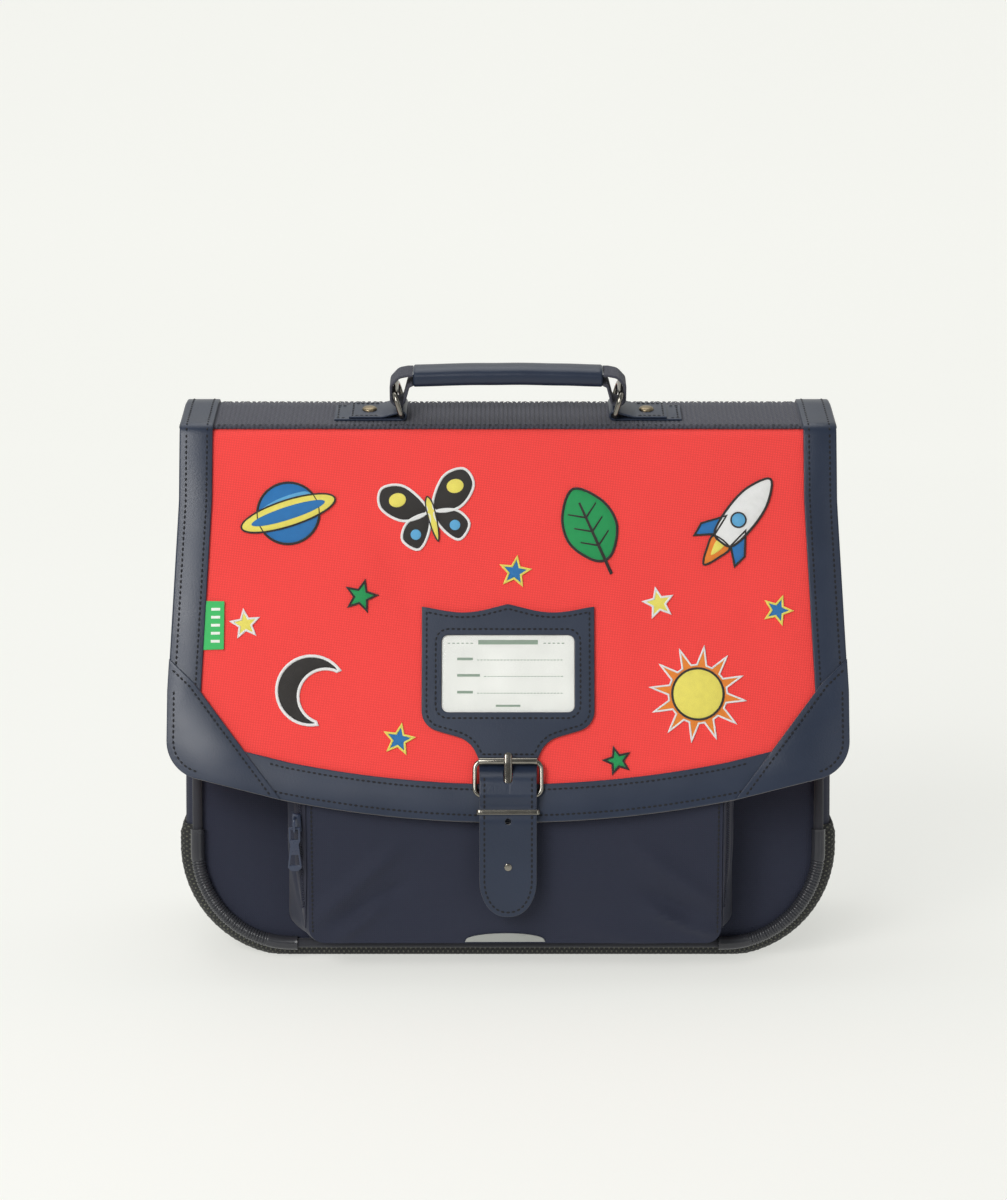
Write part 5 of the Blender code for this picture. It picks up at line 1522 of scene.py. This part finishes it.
def build_buckle():
    low = buckle_lift()
    middle = low + BUCKLE_THICKNESS / 2
    inset = BUCKLE_BAR / 2
    line = rounded_box(BUCKLE_HALF - inset, BUCKLE[0] + 1.0, BUCKLE[1] - inset, 4.6, step=9.0)
    line = resampled(line, 2.0, closed=True)
    inward = offset_line(line, 1.0, closed=True)
    section = [(a * inset * 1.02, b * (BUCKLE_THICKNESS / 2 + 0.15)) for a, b in circle(1.0, 16)]

    def frame_place(i, a, b):
        x, drop = line[i]
        return flap_point(x + (inward[i][0] - x) * a, drop + (inward[i][1] - drop) * a, middle + b)

    bm = sweep(len(line), section, frame_place, looped=True)
    piece("buckle_wire", bm, LOOKS["gunmetal"], "gunmetal", "buckle_frame", sharp=60.0)
    axis_drop = BUCKLE[0] + 1.0
    half = BUCKLE_HALF - BUCKLE_BAR - 1.0
    ends = ((-half, 0.86), (-half + 0.15, 0.96), (-half + 0.5, 1.0), (half - 0.5, 1.0), (half - 0.15, 0.96),
            (half, 0.86))

    def roller_place(i, a, b):
        x, size = ends[i]
        return flap_point(x, axis_drop + a * size, middle + b * size)

    bm = sweep(len(ends), circle(ROLLER_RADIUS, 24), roller_place)
    piece("roller_tube", bm, LOOKS["gunmetal"], "gunmetal", "buckle_roller")
    build_prong(low, middle, axis_drop)
    build_keeper(low)
    shape = rounded_box(*CHAPE, 1.5, step=30.0)
    bm = cut_out(shape, [], TAB, 0.35, flap_point, under=GAP + LEATHER + GAP)
    piece("chape_leather", bm, CUT_LEATHER, "navy_leather", "buckle_chape")


def build_prong(low, middle, axis_drop):
    """Wire prong from the slot over the roller, flattened on top and rounded at its end."""
    heel = low + BUCKLE_THICKNESS + GAP + PRONG / 2
    rest = middle + ROLLER_RADIUS + GAP + PRONG / 2
    route = rounded_path(((BUCKLE[1] - 0.6, heel, 0), (SLOT[0] + 5.0, heel + 0.2, 6.0),
                          (axis_drop + 1.0, rest, 5.0), (PRONG_TIP - 0.4, rest - 0.35, 0)), step=10.0)
    route = resampled(route, 1.0)
    taper = [ease(min(1.0, (v - PRONG_TIP + 0.9) / 1.8)) for v, _ in route]

    def place(i, a, b):
        drop, lift = route[i]
        size = 0.25 + 0.75 * taper[i]
        return flap_point(a * size, drop, lift + b * size)

    section = rounded_box(PRONG_HALF, -PRONG / 2, PRONG / 2, 0.5, 1.0, step=15.0)
    bm = sweep(len(route), section, place)
    piece("prong_wire", bm, LOOKS["gunmetal"], "gunmetal", "buckle_prong")


def build_keeper(low):
    """Flat wire loop round the strap."""
    half = STRAP_HALF + 0.5
    high = low + KEEPER_WIRE + GAP + HOLDER + GAP
    wire = KEEPER_WIRE / 2
    line = rounded_box(half + wire, low + wire, high + wire, 1.4, step=15.0)
    line = resampled(line, 2.5, closed=True)
    inward = offset_line(line, 1.0, closed=True)
    section = rounded_box(wire, -KEEPER_WIDTH / 2, KEEPER_WIDTH / 2, 0.5, step=30.0)

    def place(i, a, b):
        x, lift = line[i]
        return flap_point(x + (inward[i][0] - x) * a, KEEPER_DROP + b, lift + (inward[i][1] - lift) * a)

    bm = sweep(len(line), section, place, looped=True)
    piece("keeper_loop", bm, LOOKS["gunmetal"], "gunmetal", "strap_keeper")


# Embroidered motifs

def star_line(radius, inner=0.44, points=5):
    reach = [radius * (1.0 if k % 2 == 0 else inner) for k in range(2 * points)]
    return [(r * math.sin(math.pi * k / points), -r * math.cos(math.pi * k / points))
            for k, r in enumerate(reach)]


def smooth_line(knots, steps=6):
    """A closed smooth curve through knots."""
    count = len(knots)
    found = []
    for i in range(count):
        near = [Vector(knots[(i + k - 1) % count]) for k in range(4)]
        found += [tuple(spline_point(*near, step / steps)) for step in range(steps)]
    return found


def on_cloth(x, drop, lift):
    """A point over the flap's cloth."""
    return flap_point(x, drop, lift + flap_ripple(x, drop))


class Motif:
    """One embroidered figure: filled shapes and satin borders, gathered by thread colour."""

    def __init__(self, name, across, drop, turn=0.0, size=1.0):
        self.name = name
        self.centre = (across, drop)
        self.turn = math.radians(turn)
        self.size = size
        self.meshes = {}

    def to_flap(self, line):
        c, s = math.cos(self.turn) * self.size, math.sin(self.turn) * self.size
        return [(self.centre[0] + x * c - y * s, self.centre[1] + x * s + y * c) for x, y in line]

    def fill(self, line, colour, level=0):
        shape = self.to_flap(line)
        if signed_area(shape) < 0:
            shape.reverse()
        bm = self.meshes.setdefault(colour, bmesh.new())
        cut_out(shape, [], 0.6, 0.42, on_cloth, under=-0.1 + 0.34 * level, steps=2, bm=bm)
        return self

    def border(self, line, colour, width=1.5, level=1):
        """A satin-stitched rim that follows a closed line."""
        shape = resampled(self.to_flap(line), 1.6, closed=True)
        if signed_area(shape) < 0:
            shape.reverse()
        inward = offset_line(shape, 1.0, closed=True)
        section = [(width / 2 * math.cos(math.radians(a)), 0.62 * math.sin(math.radians(a)))
                   for a in (0, 45, 90, 135, 180)] + [(-width / 2, -0.4), (width / 2, -0.4)]
        bm = self.meshes.setdefault(colour, bmesh.new())

        def place(i, a, b):
            x, drop = shape[i]
            return on_cloth(x + (inward[i][0] - x) * a, drop + (inward[i][1] - drop) * a,
                                 0.2 + 0.34 * level + b)

        sweep(len(shape), section, place, bm=bm, looped=True)
        return self

    def finish(self):
        for colour, bm in self.meshes.items():
            look = LOOKS["thread_" + colour]
            piece(f"{self.name}_{colour}", bm, [look] * 2, None, sharp=55.0)


def build_planet():
    ring = [(26.0 * math.cos(a), 7.0 * math.sin(a)) for a in np.linspace(0, 2 * math.pi, 48, endpoint=False)]
    inner = [(20.5 * math.cos(a), 3.6 * math.sin(a)) for a in np.linspace(0, 2 * math.pi, 40, endpoint=False)]
    planet = Motif("planet", -126.0, 48.0, turn=-18.0, size=1.08)
    planet.fill(circle(16.5), "blue").border(circle(16.5), "black", 1.4)
    cloud = smooth_line([(-14.0, -6.0), (-2.0, -9.0), (12.0, -8.5), (14.5, -4.0), (2.0, -5.0), (-13.0, -2.5)])
    planet.fill(cloud, "sky", 1)
    planet.fill(ring, "yellow", 1.6)
    planet.fill(inner, "blue", 2.2)
    planet.border(ring, "black", 1.1, 2)
    planet.finish()


def build_rocket():
    rocket = Motif("rocket", 132.0, 52.0, turn=38.0, size=1.12)
    hull = smooth_line([(0.0, -27.0), (6.5, -16.0), (8.0, -2.0), (6.0, 12.0), (0.0, 14.5), (-6.0, 12.0),
                        (-8.0, -2.0), (-6.5, -16.0)])
    for side in (-1, 1):
        fin = [(side * 6.2, 2.0), (side * 14.0, 13.0), (side * 13.0, 20.0), (side * 5.0, 13.0)]
        rocket.fill(fin, "blue").border(fin, "black", 1.2)
    flame = smooth_line([(-5.0, 14.0), (5.0, 14.0), (4.0, 21.0), (0.0, 29.0), (-4.0, 21.0)])
    rocket.fill(flame, "orange").border(flame, "black", 1.2)
    rocket.fill(smooth_line([(-2.4, 15.0), (2.4, 15.0), (0.0, 23.0)]), "yellow", 1)
    rocket.fill(hull, "white", 1).border(hull, "black", 1.4, 1.6)
    rocket.fill(circle(3.8, 24), "sky", 2).border(circle(3.8, 24), "black", 1.0, 2.4)
    rocket.finish()


def build_moon():
    moon = Motif("moon", -112.0, 150.0, turn=22.0, size=1.1)
    crescent = arc((0.0, 0.0), 18.0, 58.0, 302.0, 30) + arc((8.0, 0.0), 14.2, 272.0, 88.0, 22)
    moon.fill(crescent, "black").border(crescent, "white", 1.7)
    moon.finish()


def build_leaf():
    leaf = Motif("leaf", 48.0, 58.0, turn=-24.0, size=1.1)
    blade = smooth_line([(0.0, -24.0), (11.0, -13.0), (13.5, 1.0), (7.0, 13.0), (0.0, 17.0), (-7.0, 13.0),
                         (-13.5, 1.0), (-11.0, -13.0)])
    leaf.fill(blade, "green").border(blade, "black", 1.5)
    vein = [(-0.6, -16.0), (0.6, -16.0), (0.9, 25.0), (-0.9, 25.0)]
    leaf.fill(vein, "black", 1.2)
    for y in (-8.0, 0.0, 8.0):
        for side in (-1, 1):
            leaf.fill([(0.0, y), (0.0, y + 1.2), (side * 8.0, y - 4.2), (side * 8.0, y - 5.0)], "black", 1.2)
    leaf.finish()


def build_sun():
    sun = Motif("sun", 108.0, 152.0, turn=8.0, size=1.08)
    rays = []
    for k in range(12):
        angle = 2 * math.pi * k / 12
        for off, radius in ((-0.16, 15.5), (0.0, 25.0), (0.16, 15.5)):
            rays.append((radius * math.sin(angle + off), -radius * math.cos(angle + off)))
    sun.fill(rays, "orange").border(rays, "white", 1.1, 0.6)
    sun.fill(circle(13.5), "yellow", 1).border(circle(13.5), "black", 1.4, 1.4)
    sun.finish()


def build_butterfly():
    butterfly = Motif("butterfly", -44.0, 48.0, turn=-14.0, size=1.1)
    for side in (-1, 1):
        upper = smooth_line([(side * 1.5, -2.0), (side * 10.0, -17.0), (side * 22.0, -19.0),
                             (side * 25.0, -9.0), (side * 15.0, 0.5)])
        lower = smooth_line([(side * 1.5, 0.0), (side * 13.0, 1.5), (side * 18.0, 10.0), (side * 11.0, 17.0),
                             (side * 4.0, 10.0)])
        for wing in (upper, lower):
            butterfly.fill(wing, "black").border(wing, "white", 1.5)
        butterfly.fill([(side * 15.5 + x * 1.2, -11.0 + y) for x, y in circle(3.8, 20)], "yellow", 1)
        butterfly.fill([(side * 10.5 + x, 9.0 + y) for x, y in circle(2.8, 18)], "sky", 1)
    trunk = smooth_line([(0.0, -9.0), (2.0, -4.0), (1.7, 8.0), (0.0, 15.0), (-1.7, 8.0), (-2.0, -4.0)])
    butterfly.fill(trunk, "yellow", 1.6).border(trunk, "black", 0.9, 2.0)
    butterfly.finish()


def build_stars():
    # across, drop, turn, radius, fill and rim of each small star
    stars = ((4.0, 82.0, 8.0, 8.5, "blue", "yellow"), (86.0, 100.0, -12.0, 8.5, "yellow", "white"),
             (-84.0, 96.0, 14.0, 9.0, "green", "black"), (154.0, 104.0, 20.0, 8.0, "blue", "yellow"),
             (-150.0, 112.0, -8.0, 8.0, "yellow", "white"), (-62.0, 178.0, 10.0, 8.5, "blue", "yellow"),
             (62.0, 190.0, -16.0, 7.5, "green", "black"))
    for k, (across, drop, turn, radius, inside, rim) in enumerate(stars):
        star = Motif(f"star_{k + 1}", across, drop, turn)
        star.fill(star_line(radius), inside).border(star_line(radius), rim, 1.2)
        star.finish()


def build_motifs():
    build_planet()
    build_rocket()
    build_moon()
    build_leaf()
    build_sun()
    build_butterfly()
    build_stars()


# Handle

def handle_place(x, along, rise):
    slope = math.atan2(CROWN[1] - FOLD[1], CROWN[0] - FOLD[0])
    seat_z = FOLD[1] + (HANDLE_Y - FOLD[0]) * math.tan(slope)
    return (x, HANDLE_Y + along * math.cos(slope) - rise * math.sin(slope),
            seat_z + along * math.sin(slope) + rise * math.cos(slope))


def ring_bar_rise():
    return GAP + WEBBING + GAP + TAB + GAP + RING_WIRE


def strip_sweep(path, section):
    """A section (across, through) carried along a side view path (x, rise)."""
    normals = profile_normals(path)

    def place(i, a, b):
        return handle_place(path[i][0] - normals[i].x * b, a, path[i][1] - normals[i].y * b)

    return sweep(len(path), section, place)


def build_grip():
    depth, height = GRIP
    section = []
    for k in range(36):
        angle = 2 * math.pi * k / 36
        c, s = math.cos(angle), math.sin(angle)
        section.append((depth / 2 * math.copysign(abs(c) ** 0.75, c),
                        height / 2 * math.copysign(abs(s) ** 0.75, s)))
    shares = [-1.0, -0.997, -0.985] + [-0.96 + 1.92 * k / 40 for k in range(41)] + [0.985, 0.997, 1.0]

    def place(i, a, b):
        share = shares[i]
        size = 0.9 + 0.1 * ease((1.0 - abs(share)) / 0.012)
        rise = GRIP_RISE + 1.2 * (1.0 - share ** 2) + 0.15 * wave(share * 60.0, 0.0, 1.0, 18.0)
        return handle_place(GRIP_HALF * share, a * size, rise + b * size)

    bm = sweep(len(shares), section, place)
    piece("grip_leather", bm, LOOKS["leather"], "navy_leather", "handle_grip")

    def seam(x, along, out):
        rise = GRIP_RISE + 1.2 * (1.0 - (x / GRIP_HALF) ** 2)
        return handle_place(x, along + depth / 2 * 0.62, rise - height / 2 * 0.93 - out)

    line = [(-GRIP_HALF + 3.0, 0.0), (0.0, 0.0), (GRIP_HALF - 3.0, 0.0)]
    sew("grip_stitches", stitches(line, seam, 0.0))


def build_loops():
    """Webbing from inside the grip, round the ring's top wire and back."""
    top = GRIP_RISE + GRIP[1] * 0.25
    foot = GRIP_RISE - GRIP[1] * 0.25
    start = GRIP_HALF + GAP
    ring_top = ring_bar_rise() + RING_HEIGHT
    snug = RING_X + RING_LEAN + RING_WIRE + GAP + LOOP / 2
    corners = ((start, top, 0), (start + 3.0, top, 2.0), (start + 8.0, top - 1.0, 5.0),
               (snug, ring_top + 4.0, 3.0), (snug, ring_top - 8.8, 4.0),
               (start + 5.5, ring_top - 7.4, 3.5), (start + 2.6, foot - 1.2, 2.0), (start, foot, 0))
    path = resampled(rounded_path(corners, step=8.0), 0.8)
    ribs = 13
    upper, lower = [], []
    for k in range(ribs * 4 + 1):
        a = -LOOP_HALF + 2 * LOOP_HALF * k / (ribs * 4)
        rib = 0.22 * abs(math.sin(math.pi * k / 4)) ** 0.7
        edge = 0.35 * (1.0 - ease((LOOP_HALF - abs(a)) / 0.8))
        upper.append((a, LOOP / 2 - 0.1 + rib - edge))
        lower.append((a, -LOOP / 2 + 0.1 - rib + edge))
    section = upper + lower[::-1]
    for side, label in SIDES:
        line = [(side * x, rise) for x, rise in path]
        bm = strip_sweep(line, section)
        piece("loop_webbing_" + label, bm, LOOKS["webbing"], "slate_webbing", "handle_loop_" + label,
              sharp=80.0)


def build_rings():
    outline = rounded_box(RING_HALF, 0.0, RING_HEIGHT, 2.75, 5.5, step=10.0)
    outline = resampled(outline, 2.5, closed=True)
    inward = offset_line(outline, 1.0, closed=True)
    lean = Vector((RING_LEAN, RING_HEIGHT)).normalized()
    for side, label in SIDES:
        def place(i, a, b, side=side):
            across, up = outline[i]
            across, up = across + (inward[i][0] - across) * a, up + (inward[i][1] - up) * a
            x = RING_X + RING_LEAN * up / RING_HEIGHT + b * lean.y
            return handle_place(side * x, across, ring_bar_rise() + up - b * lean.x)
        bm = sweep(len(outline), circle(RING_WIRE, 14), place, looped=True)
        piece("ring_wire_" + label, bm, LOOKS["gunmetal"], "gunmetal", "d_ring_" + label)


def tab_path():
    low = GAP + WEBBING + GAP
    lower = low + TAB / 2
    upper = lower + TAB + GAP
    turn = RING_WIRE + GAP + TAB / 2
    fold = arc((RING_X, ring_bar_rise()), turn, 270.0, 90.0, 20)
    return resampled([(TAB_OUT, lower)] + fold + [(TAB_PINCH, upper), (TAB_TOP_OUT, upper)], 2.0)


def build_tabs():
    path = tab_path()
    section = rounded_box(TAB_HALF, -TAB / 2, TAB / 2, 0.3, 0.4, step=30.0)
    seat = GAP + WEBBING + 2 * GAP + 2 * TAB
    leaves = ((TAB_TOP_OUT, TAB_OUT, GAP + WEBBING + GAP + TAB), (TAB_PINCH, TAB_TOP_OUT, seat))
    inset = 2.0
    radius, height = RIVET
    profile = ((1.0, 0.0), (1.0, 0.3), (0.94, 0.55), (0.8, 0.82), (0.55, 0.97), (0.25, 1.02), (0.04, 1.03))
    rows = []
    for side, label in SIDES:
        line = [(side * x, rise) for x, rise in path]
        bm = strip_sweep(line, section)
        piece("tab_leather_" + label, bm, LOOKS["leather"], "navy_leather", "handle_tab_" + label)
        for near, far, top in leaves:
            corners = ((near + inset, -TAB_HALF + inset), (far - inset, -TAB_HALF + inset),
                       (far - inset, TAB_HALF - inset), (near + inset, TAB_HALF - inset))
            row = [(side * x, v) for x, v in corners]
            rows += stitches(row, handle_place, top + STITCH_PROUD, pitch=2.8)

        def dome(i, a, b, side=side):
            size, rise = profile[i]
            return handle_place(side * RIVET_X + a * size, b * size, seat + height * rise)

        bm = sweep(len(profile), circle(radius, 28), dome)
        piece("rivet_dome_" + label, bm, LOOKS["brass"], "old_brass", "rivet_" + label)
    sew("tab_stitches", rows)


# Back

def carry_knots():
    seat = BACK_Y + GAP + PAD[2] + GAP + CARRY[1] / 2
    # Share of the strap's height, share of its stand-off, share of its sideways run
    table = ((0.0, 0.03, 0.0), (0.1, 0.12, 0.0), (0.24, 0.62, 0.03), (0.42, 0.95, 0.12), (0.6, 1.0, 0.32),
             (0.8, 0.78, 0.66), (1.0, 0.42, 1.0))
    top = PAD[1] - 16.0
    return [Vector((CARRY_X[0] + (CARRY_X[1] - CARRY_X[0]) * run, seat + CARRY_OUT * off,
                    top + (CARRY_FOOT - top) * down)) for down, off, run in table]


def smooth_path(knots, steps=8):
    """An open smooth curve through knots."""
    points = [knots[0] * 2 - knots[1]] + list(knots) + [knots[-1] * 2 - knots[-2]]
    found = []
    for i in range(1, len(points) - 2):
        found += [spline_point(*points[i - 1:i + 3], step / steps) for step in range(steps)]
    return found + [knots[-1].copy()]


def ribbon(name, points, across_of, section, look, slot, node, side, swell=None):
    frames = []
    for i, point in enumerate(points):
        along = heading(points, i)
        across = across_of(i / (len(points) - 1))
        across = (across - along * across.dot(along)).normalized()
        frames.append((point, across, along.cross(across).normalized()))

    def place(i, a, b):
        origin, across, out = frames[i]
        point = origin + across * a + out * (b * (swell(i, a) if swell else 1.0))
        return side * point.x, point.y, point.z

    bm = sweep(len(points), section, place)
    return piece(name, bm, look, slot, node, sharp=55.0)


def build_straps():
    half = CARRY[0] / 2
    profile = ((0.0, 0.8), (1.5, 1.1), (5.0, 1.1), (6.0, 0.9), (8.5, 2.6), (13.0, 3.6), (20.0, 4.0),
               (half, 4.1))
    outer = [(-half + a, b) for a, b in profile] + [(half - a, b) for a, b in reversed(profile[:-1])]
    section = outer + [(a, -b * 0.85) for a, b in reversed(outer)]
    knots = carry_knots()
    across = Vector((1.0, 0.0, 0.25))
    route = smooth_path(knots, 14)
    for side, label in SIDES:
        def swell(i, a):
            lines = abs(((i / 12.0) % 1.0) - 0.5) * 2.0
            puff = 1.0 if abs(a) > half - 6.0 else 0.8 + 0.22 * ease((1.0 - lines) / 0.25)
            return puff + 0.05 * wave(i, a, 3.0, 9.0)
        strap = ribbon("padded_strap_" + label, route, lambda _s: across, section, LOOKS["navy"],
                       "navy_fabric", "shoulder_strap_" + label, side, swell)
        build_side_webbing(side, label, knots, across)


def build_side_webbing(side, label, knots, across_hint):
    along = (knots[-1] - knots[-2]).normalized()
    across = (across_hint - along * along.dot(across_hint)).normalized()
    end = knots[-1] + along * (ADJUSTER_HEIGHT + 3 * GAP)
    corner_y = BACK_Y + 2 * PIPING + GAP + SIDE_WEBBING[1] + 2.0
    outer = HALF_WIDTH + 2.6 + GAP + 1.0
    rise = COVER_TOP + GAP + SIDE_WEBBING[0] / 2
    points = [Vector(p) for p in (
        tuple(end), tuple(end + along * 9.0), (end.x + 32.0, (end.y + corner_y) / 2, rise - 17.0),
        (HALF_WIDTH - 30.0, corner_y + 1.0, rise - 4.0), (HALF_WIDTH - 8.0, corner_y, rise),
        (outer, corner_y - 9.0, rise), (outer + 0.6, corner_y - 22.0, rise),
        (outer, ANCHOR_Y + 13.0 - 8.0, rise))]
    upright = Vector((0.0, 0.0, 1.0))
    half, thick = SIDE_WEBBING[0] / 2, SIDE_WEBBING[1] / 2
    top = []
    for k in range(49):
        a = -half + 2 * half * k / 48
        top.append((a, thick - 0.25 + 0.25 * abs(math.sin(math.pi * k / 4)) ** 0.7))
    section = top + [(a, -b) for a, b in reversed(top)]
    ribbon("side_webbing_" + label, smooth_path(points, 10),
           lambda s: across.lerp(upright, min(1.0, max(0.0, s * 7.0 - 1.0) / 2.0)), section,
           LOOKS["webbing"], "slate_webbing", "strap_webbing_" + label, side)
    eased_copy("adjuster_frame_" + label, "strap_adjuster_" + label, LOOKS["guard"], "grey_plastic", 0.7)
    eased_copy("anchor_patch_" + label, "strap_anchor_" + label, LOOKS["webbing"], "slate_webbing", 0.5)


def build_back_pad():
    """Foam pad on the back: blown up as cloth, then drawn in along its sewn channels."""
    foot, top, thickness, corner = PAD
    start = BACK_Y + GAP
    inset = 3.0
    outline = rounded_box(PAD_HALF - inset, foot + inset, top - inset, corner - inset, step=9.0)

    def on_back(x, z, out):
        return x, start + 1.0 + out, z

    bm = cut_out(resampled(outline, 8.0, closed=True), [], thickness - 3.5, 2.0, on_back)
    pad = piece("back_cushion", bm, LOOKS["navy_solid"], "navy_fabric", "back_pad", sharp=60.0)
    inflate(pad, 5.0 * MM, 5.0 * MM)
    for vert in pad.data.vertices:
        x, y, z = vert.co.x / MM, vert.co.y / MM, vert.co.z / MM
        channels = [abs(x), abs(abs(x) - 105.0), abs(z - 98.0) if abs(x) < 105.0 else 99.0,
                    abs(z - 184.0) if abs(x) < 105.0 else 99.0]
        groove = sum(math.exp(-(d / 3.2) ** 2) for d in channels)
        share = ease((y - start) / thickness)
        vert.co.y = (y - share * min(1.0, groove) * 4.6) * MM
        vert.co.y = max((start + 0.02) * MM, min(vert.co.y, (start + thickness) * MM))


def inflate(item, voxel, cap):
    """Remeshes a closed piece, blows it up as cloth and keeps each point within a cap of its start."""
    remesh = item.modifiers.new("even", "REMESH")
    remesh.mode = "VOXEL"
    remesh.voxel_size = voxel
    bake_modifiers(item)
    start = [v.co.copy() for v in item.data.vertices]
    cloth = item.modifiers.new("blown", "CLOTH")
    cloth.settings.use_pressure = True
    cloth.settings.uniform_pressure_force = 4.0
    cloth.settings.effector_weights.gravity = 0.0
    for number in range(1, 21):
        bpy.context.scene.frame_set(number)
    bake_modifiers(item)
    bpy.context.scene.frame_set(1)
    for vert, before in zip(item.data.vertices, start):
        move = vert.co - before
        if move.length > cap:
            vert.co = before + move.normalized() * cap
    finer = item.modifiers.new("finer", "SUBSURF")
    finer.levels = 1
    finer.render_levels = 1
    bake_modifiers(item)
    item.data.shade_smooth()


def bake_modifiers(item):
    """Puts what the modifiers make into the mesh itself."""
    graph = bpy.context.evaluated_depsgraph_get()
    graph.update()
    made = bpy.data.meshes.new_from_object(item.evaluated_get(graph))
    item.modifiers.clear()
    item.data = made


# Room

def build_room():
    floor_look, tree, shader = new_look("pale_floor", 0.9)
    place = pattern_place(tree, False)
    cloud = add_node(tree, "TexNoise", Vector=place, Scale=2.0, Detail=2.0).outputs[0]
    tree.links.new(blend_colours(tree, cloud, (0.34, 0.34, 0.33, 1.0), (0.36, 0.36, 0.35, 1.0)),
                   shader.inputs["Base Color"])
    shader.inputs["Emission Color"].default_value = (0.98, 0.985, 0.935, 1.0)
    depth = add_node(tree, "SeparateXYZ", i0=place).outputs[1]
    seen = add_node(tree, "MapRange", Value=depth, i1=0.0, i2=3.0, i3=FLOOR_GLOW, i4=FAR_GLOW).outputs[0]
    unseen = add_node(tree, "MapRange", Value=depth, i1=-1.1, i2=-0.1, i3=FRONT_GLOW, i4=FLOOR_GLOW).outputs[0]
    by_camera = add_node(tree, "LightPath").outputs["Is Camera Ray"]
    more = result(tree, "MULTIPLY", by_camera, result(tree, "SUBTRACT", seen, unseen))
    tree.links.new(result(tree, "ADD", unseen, more), shader.inputs["Emission Strength"])
    bm = bmesh.new()
    front, back, turn, wall, half = -3000.0, 2200.0, 1400.0, 4200.0, 5000.0
    angles = [math.radians(degrees) for degrees in range(0, 91, 6)]
    bend = [(front, 0.0)] + [(back + turn * math.sin(a), turn * (1.0 - math.cos(a))) for a in angles]
    bend.append((back + turn, wall))
    lattice(bm, 2, len(bend), lambda i, j: (-half + 2 * half * i, *bend[j]), lambda i, j: (i, j))
    mesh = bpy.data.meshes.new("studio_floor")
    bmesh.ops.recalc_face_normals(bm, faces=bm.faces)
    bm.to_mesh(mesh)
    bm.free()
    mesh.shade_smooth()
    floor = put_in_scene("studio_floor", mesh)
    mesh.materials.append(floor_look)


def add_light(name, place, target, size, power, colour=(1.0, 1.0, 1.0)):
    lamp = bpy.data.lights.new(name, "AREA")
    lamp.shape = "RECTANGLE"
    lamp.size, lamp.size_y = size
    lamp.energy = power
    lamp.color = colour
    item = put_in_scene(name, lamp)
    item.location = place
    item.rotation_euler = (Vector(target) - Vector(place)).to_track_quat("-Z", "Y").to_euler()
    item.visible_camera = False


def build_lights():
    world = bpy.data.worlds.new("studio")
    world.use_nodes = True
    tree = world.node_tree
    towards = add_node(tree, "SeparateXYZ", i0=add_node(tree, "TexCoord").outputs["Generated"]).outputs[1]
    share = add_node(tree, "MapRange", Value=towards, i1=-0.9, i2=0.6).outputs[0]
    sky = blend_colours(tree, share, (0.22, 0.225, 0.23, 1.0), (0.97, 1.0, 0.97, 1.0))
    by_camera = add_node(tree, "LightPath").outputs["Is Camera Ray"]
    sky = blend_colours(tree, by_camera, sky, (0.91, 0.91, 0.87, 1.0))
    tree.links.new(sky, tree.nodes["Background"].inputs["Color"])
    strength = result(tree, "MULTIPLY_ADD", by_camera, 0.45, 0.55)
    tree.links.new(strength, tree.nodes["Background"].inputs["Strength"])
    bpy.context.scene.world = world
    add_light("key", (-1.35, -1.7, 1.75), (0.0, 0.0, 0.15), (0.9, 0.9), 19.0, (1.0, 0.99, 0.96))
    add_light("left_panel", (-1.1, -2.4, 1.4), (0.0, 0.0, 0.2), (1.2, 1.2), 33.0)
    add_light("right_panel", (1.5, -2.3, 0.8), (0.0, 0.0, 0.2), (1.0, 1.5), 6.0)
    add_light("top", (-0.3, 0.6, 2.2), (0.0, 0.0, 0.2), (1.6, 1.6), 14.0)


def build_camera():
    lens = bpy.data.cameras.new("camera")
    lens.sensor_fit = "VERTICAL"
    lens.sensor_height = 36.0
    lens.lens = CAMERA_LENS
    camera = put_in_scene("camera", lens)
    camera.location = CAMERA_PLACE
    camera.rotation_euler = (math.radians(CAMERA_TILT), 0.0, 0.0)
    bpy.context.scene.camera = camera


bpy.context.scene.view_settings.view_transform = "Standard"
build_camera()
build_lights()
build_room()
build_body()
build_base_cover()
build_piping()
build_guards()
build_pocket()
build_zips()
build_reflector()
build_flap_cloth()
build_bands()
build_patches()
build_webbing()
build_tag()
build_holder()
build_card()
build_buckle()
build_motifs()
build_grip()
build_loops()
build_rings()
build_tabs()
build_straps()
build_back_pad()
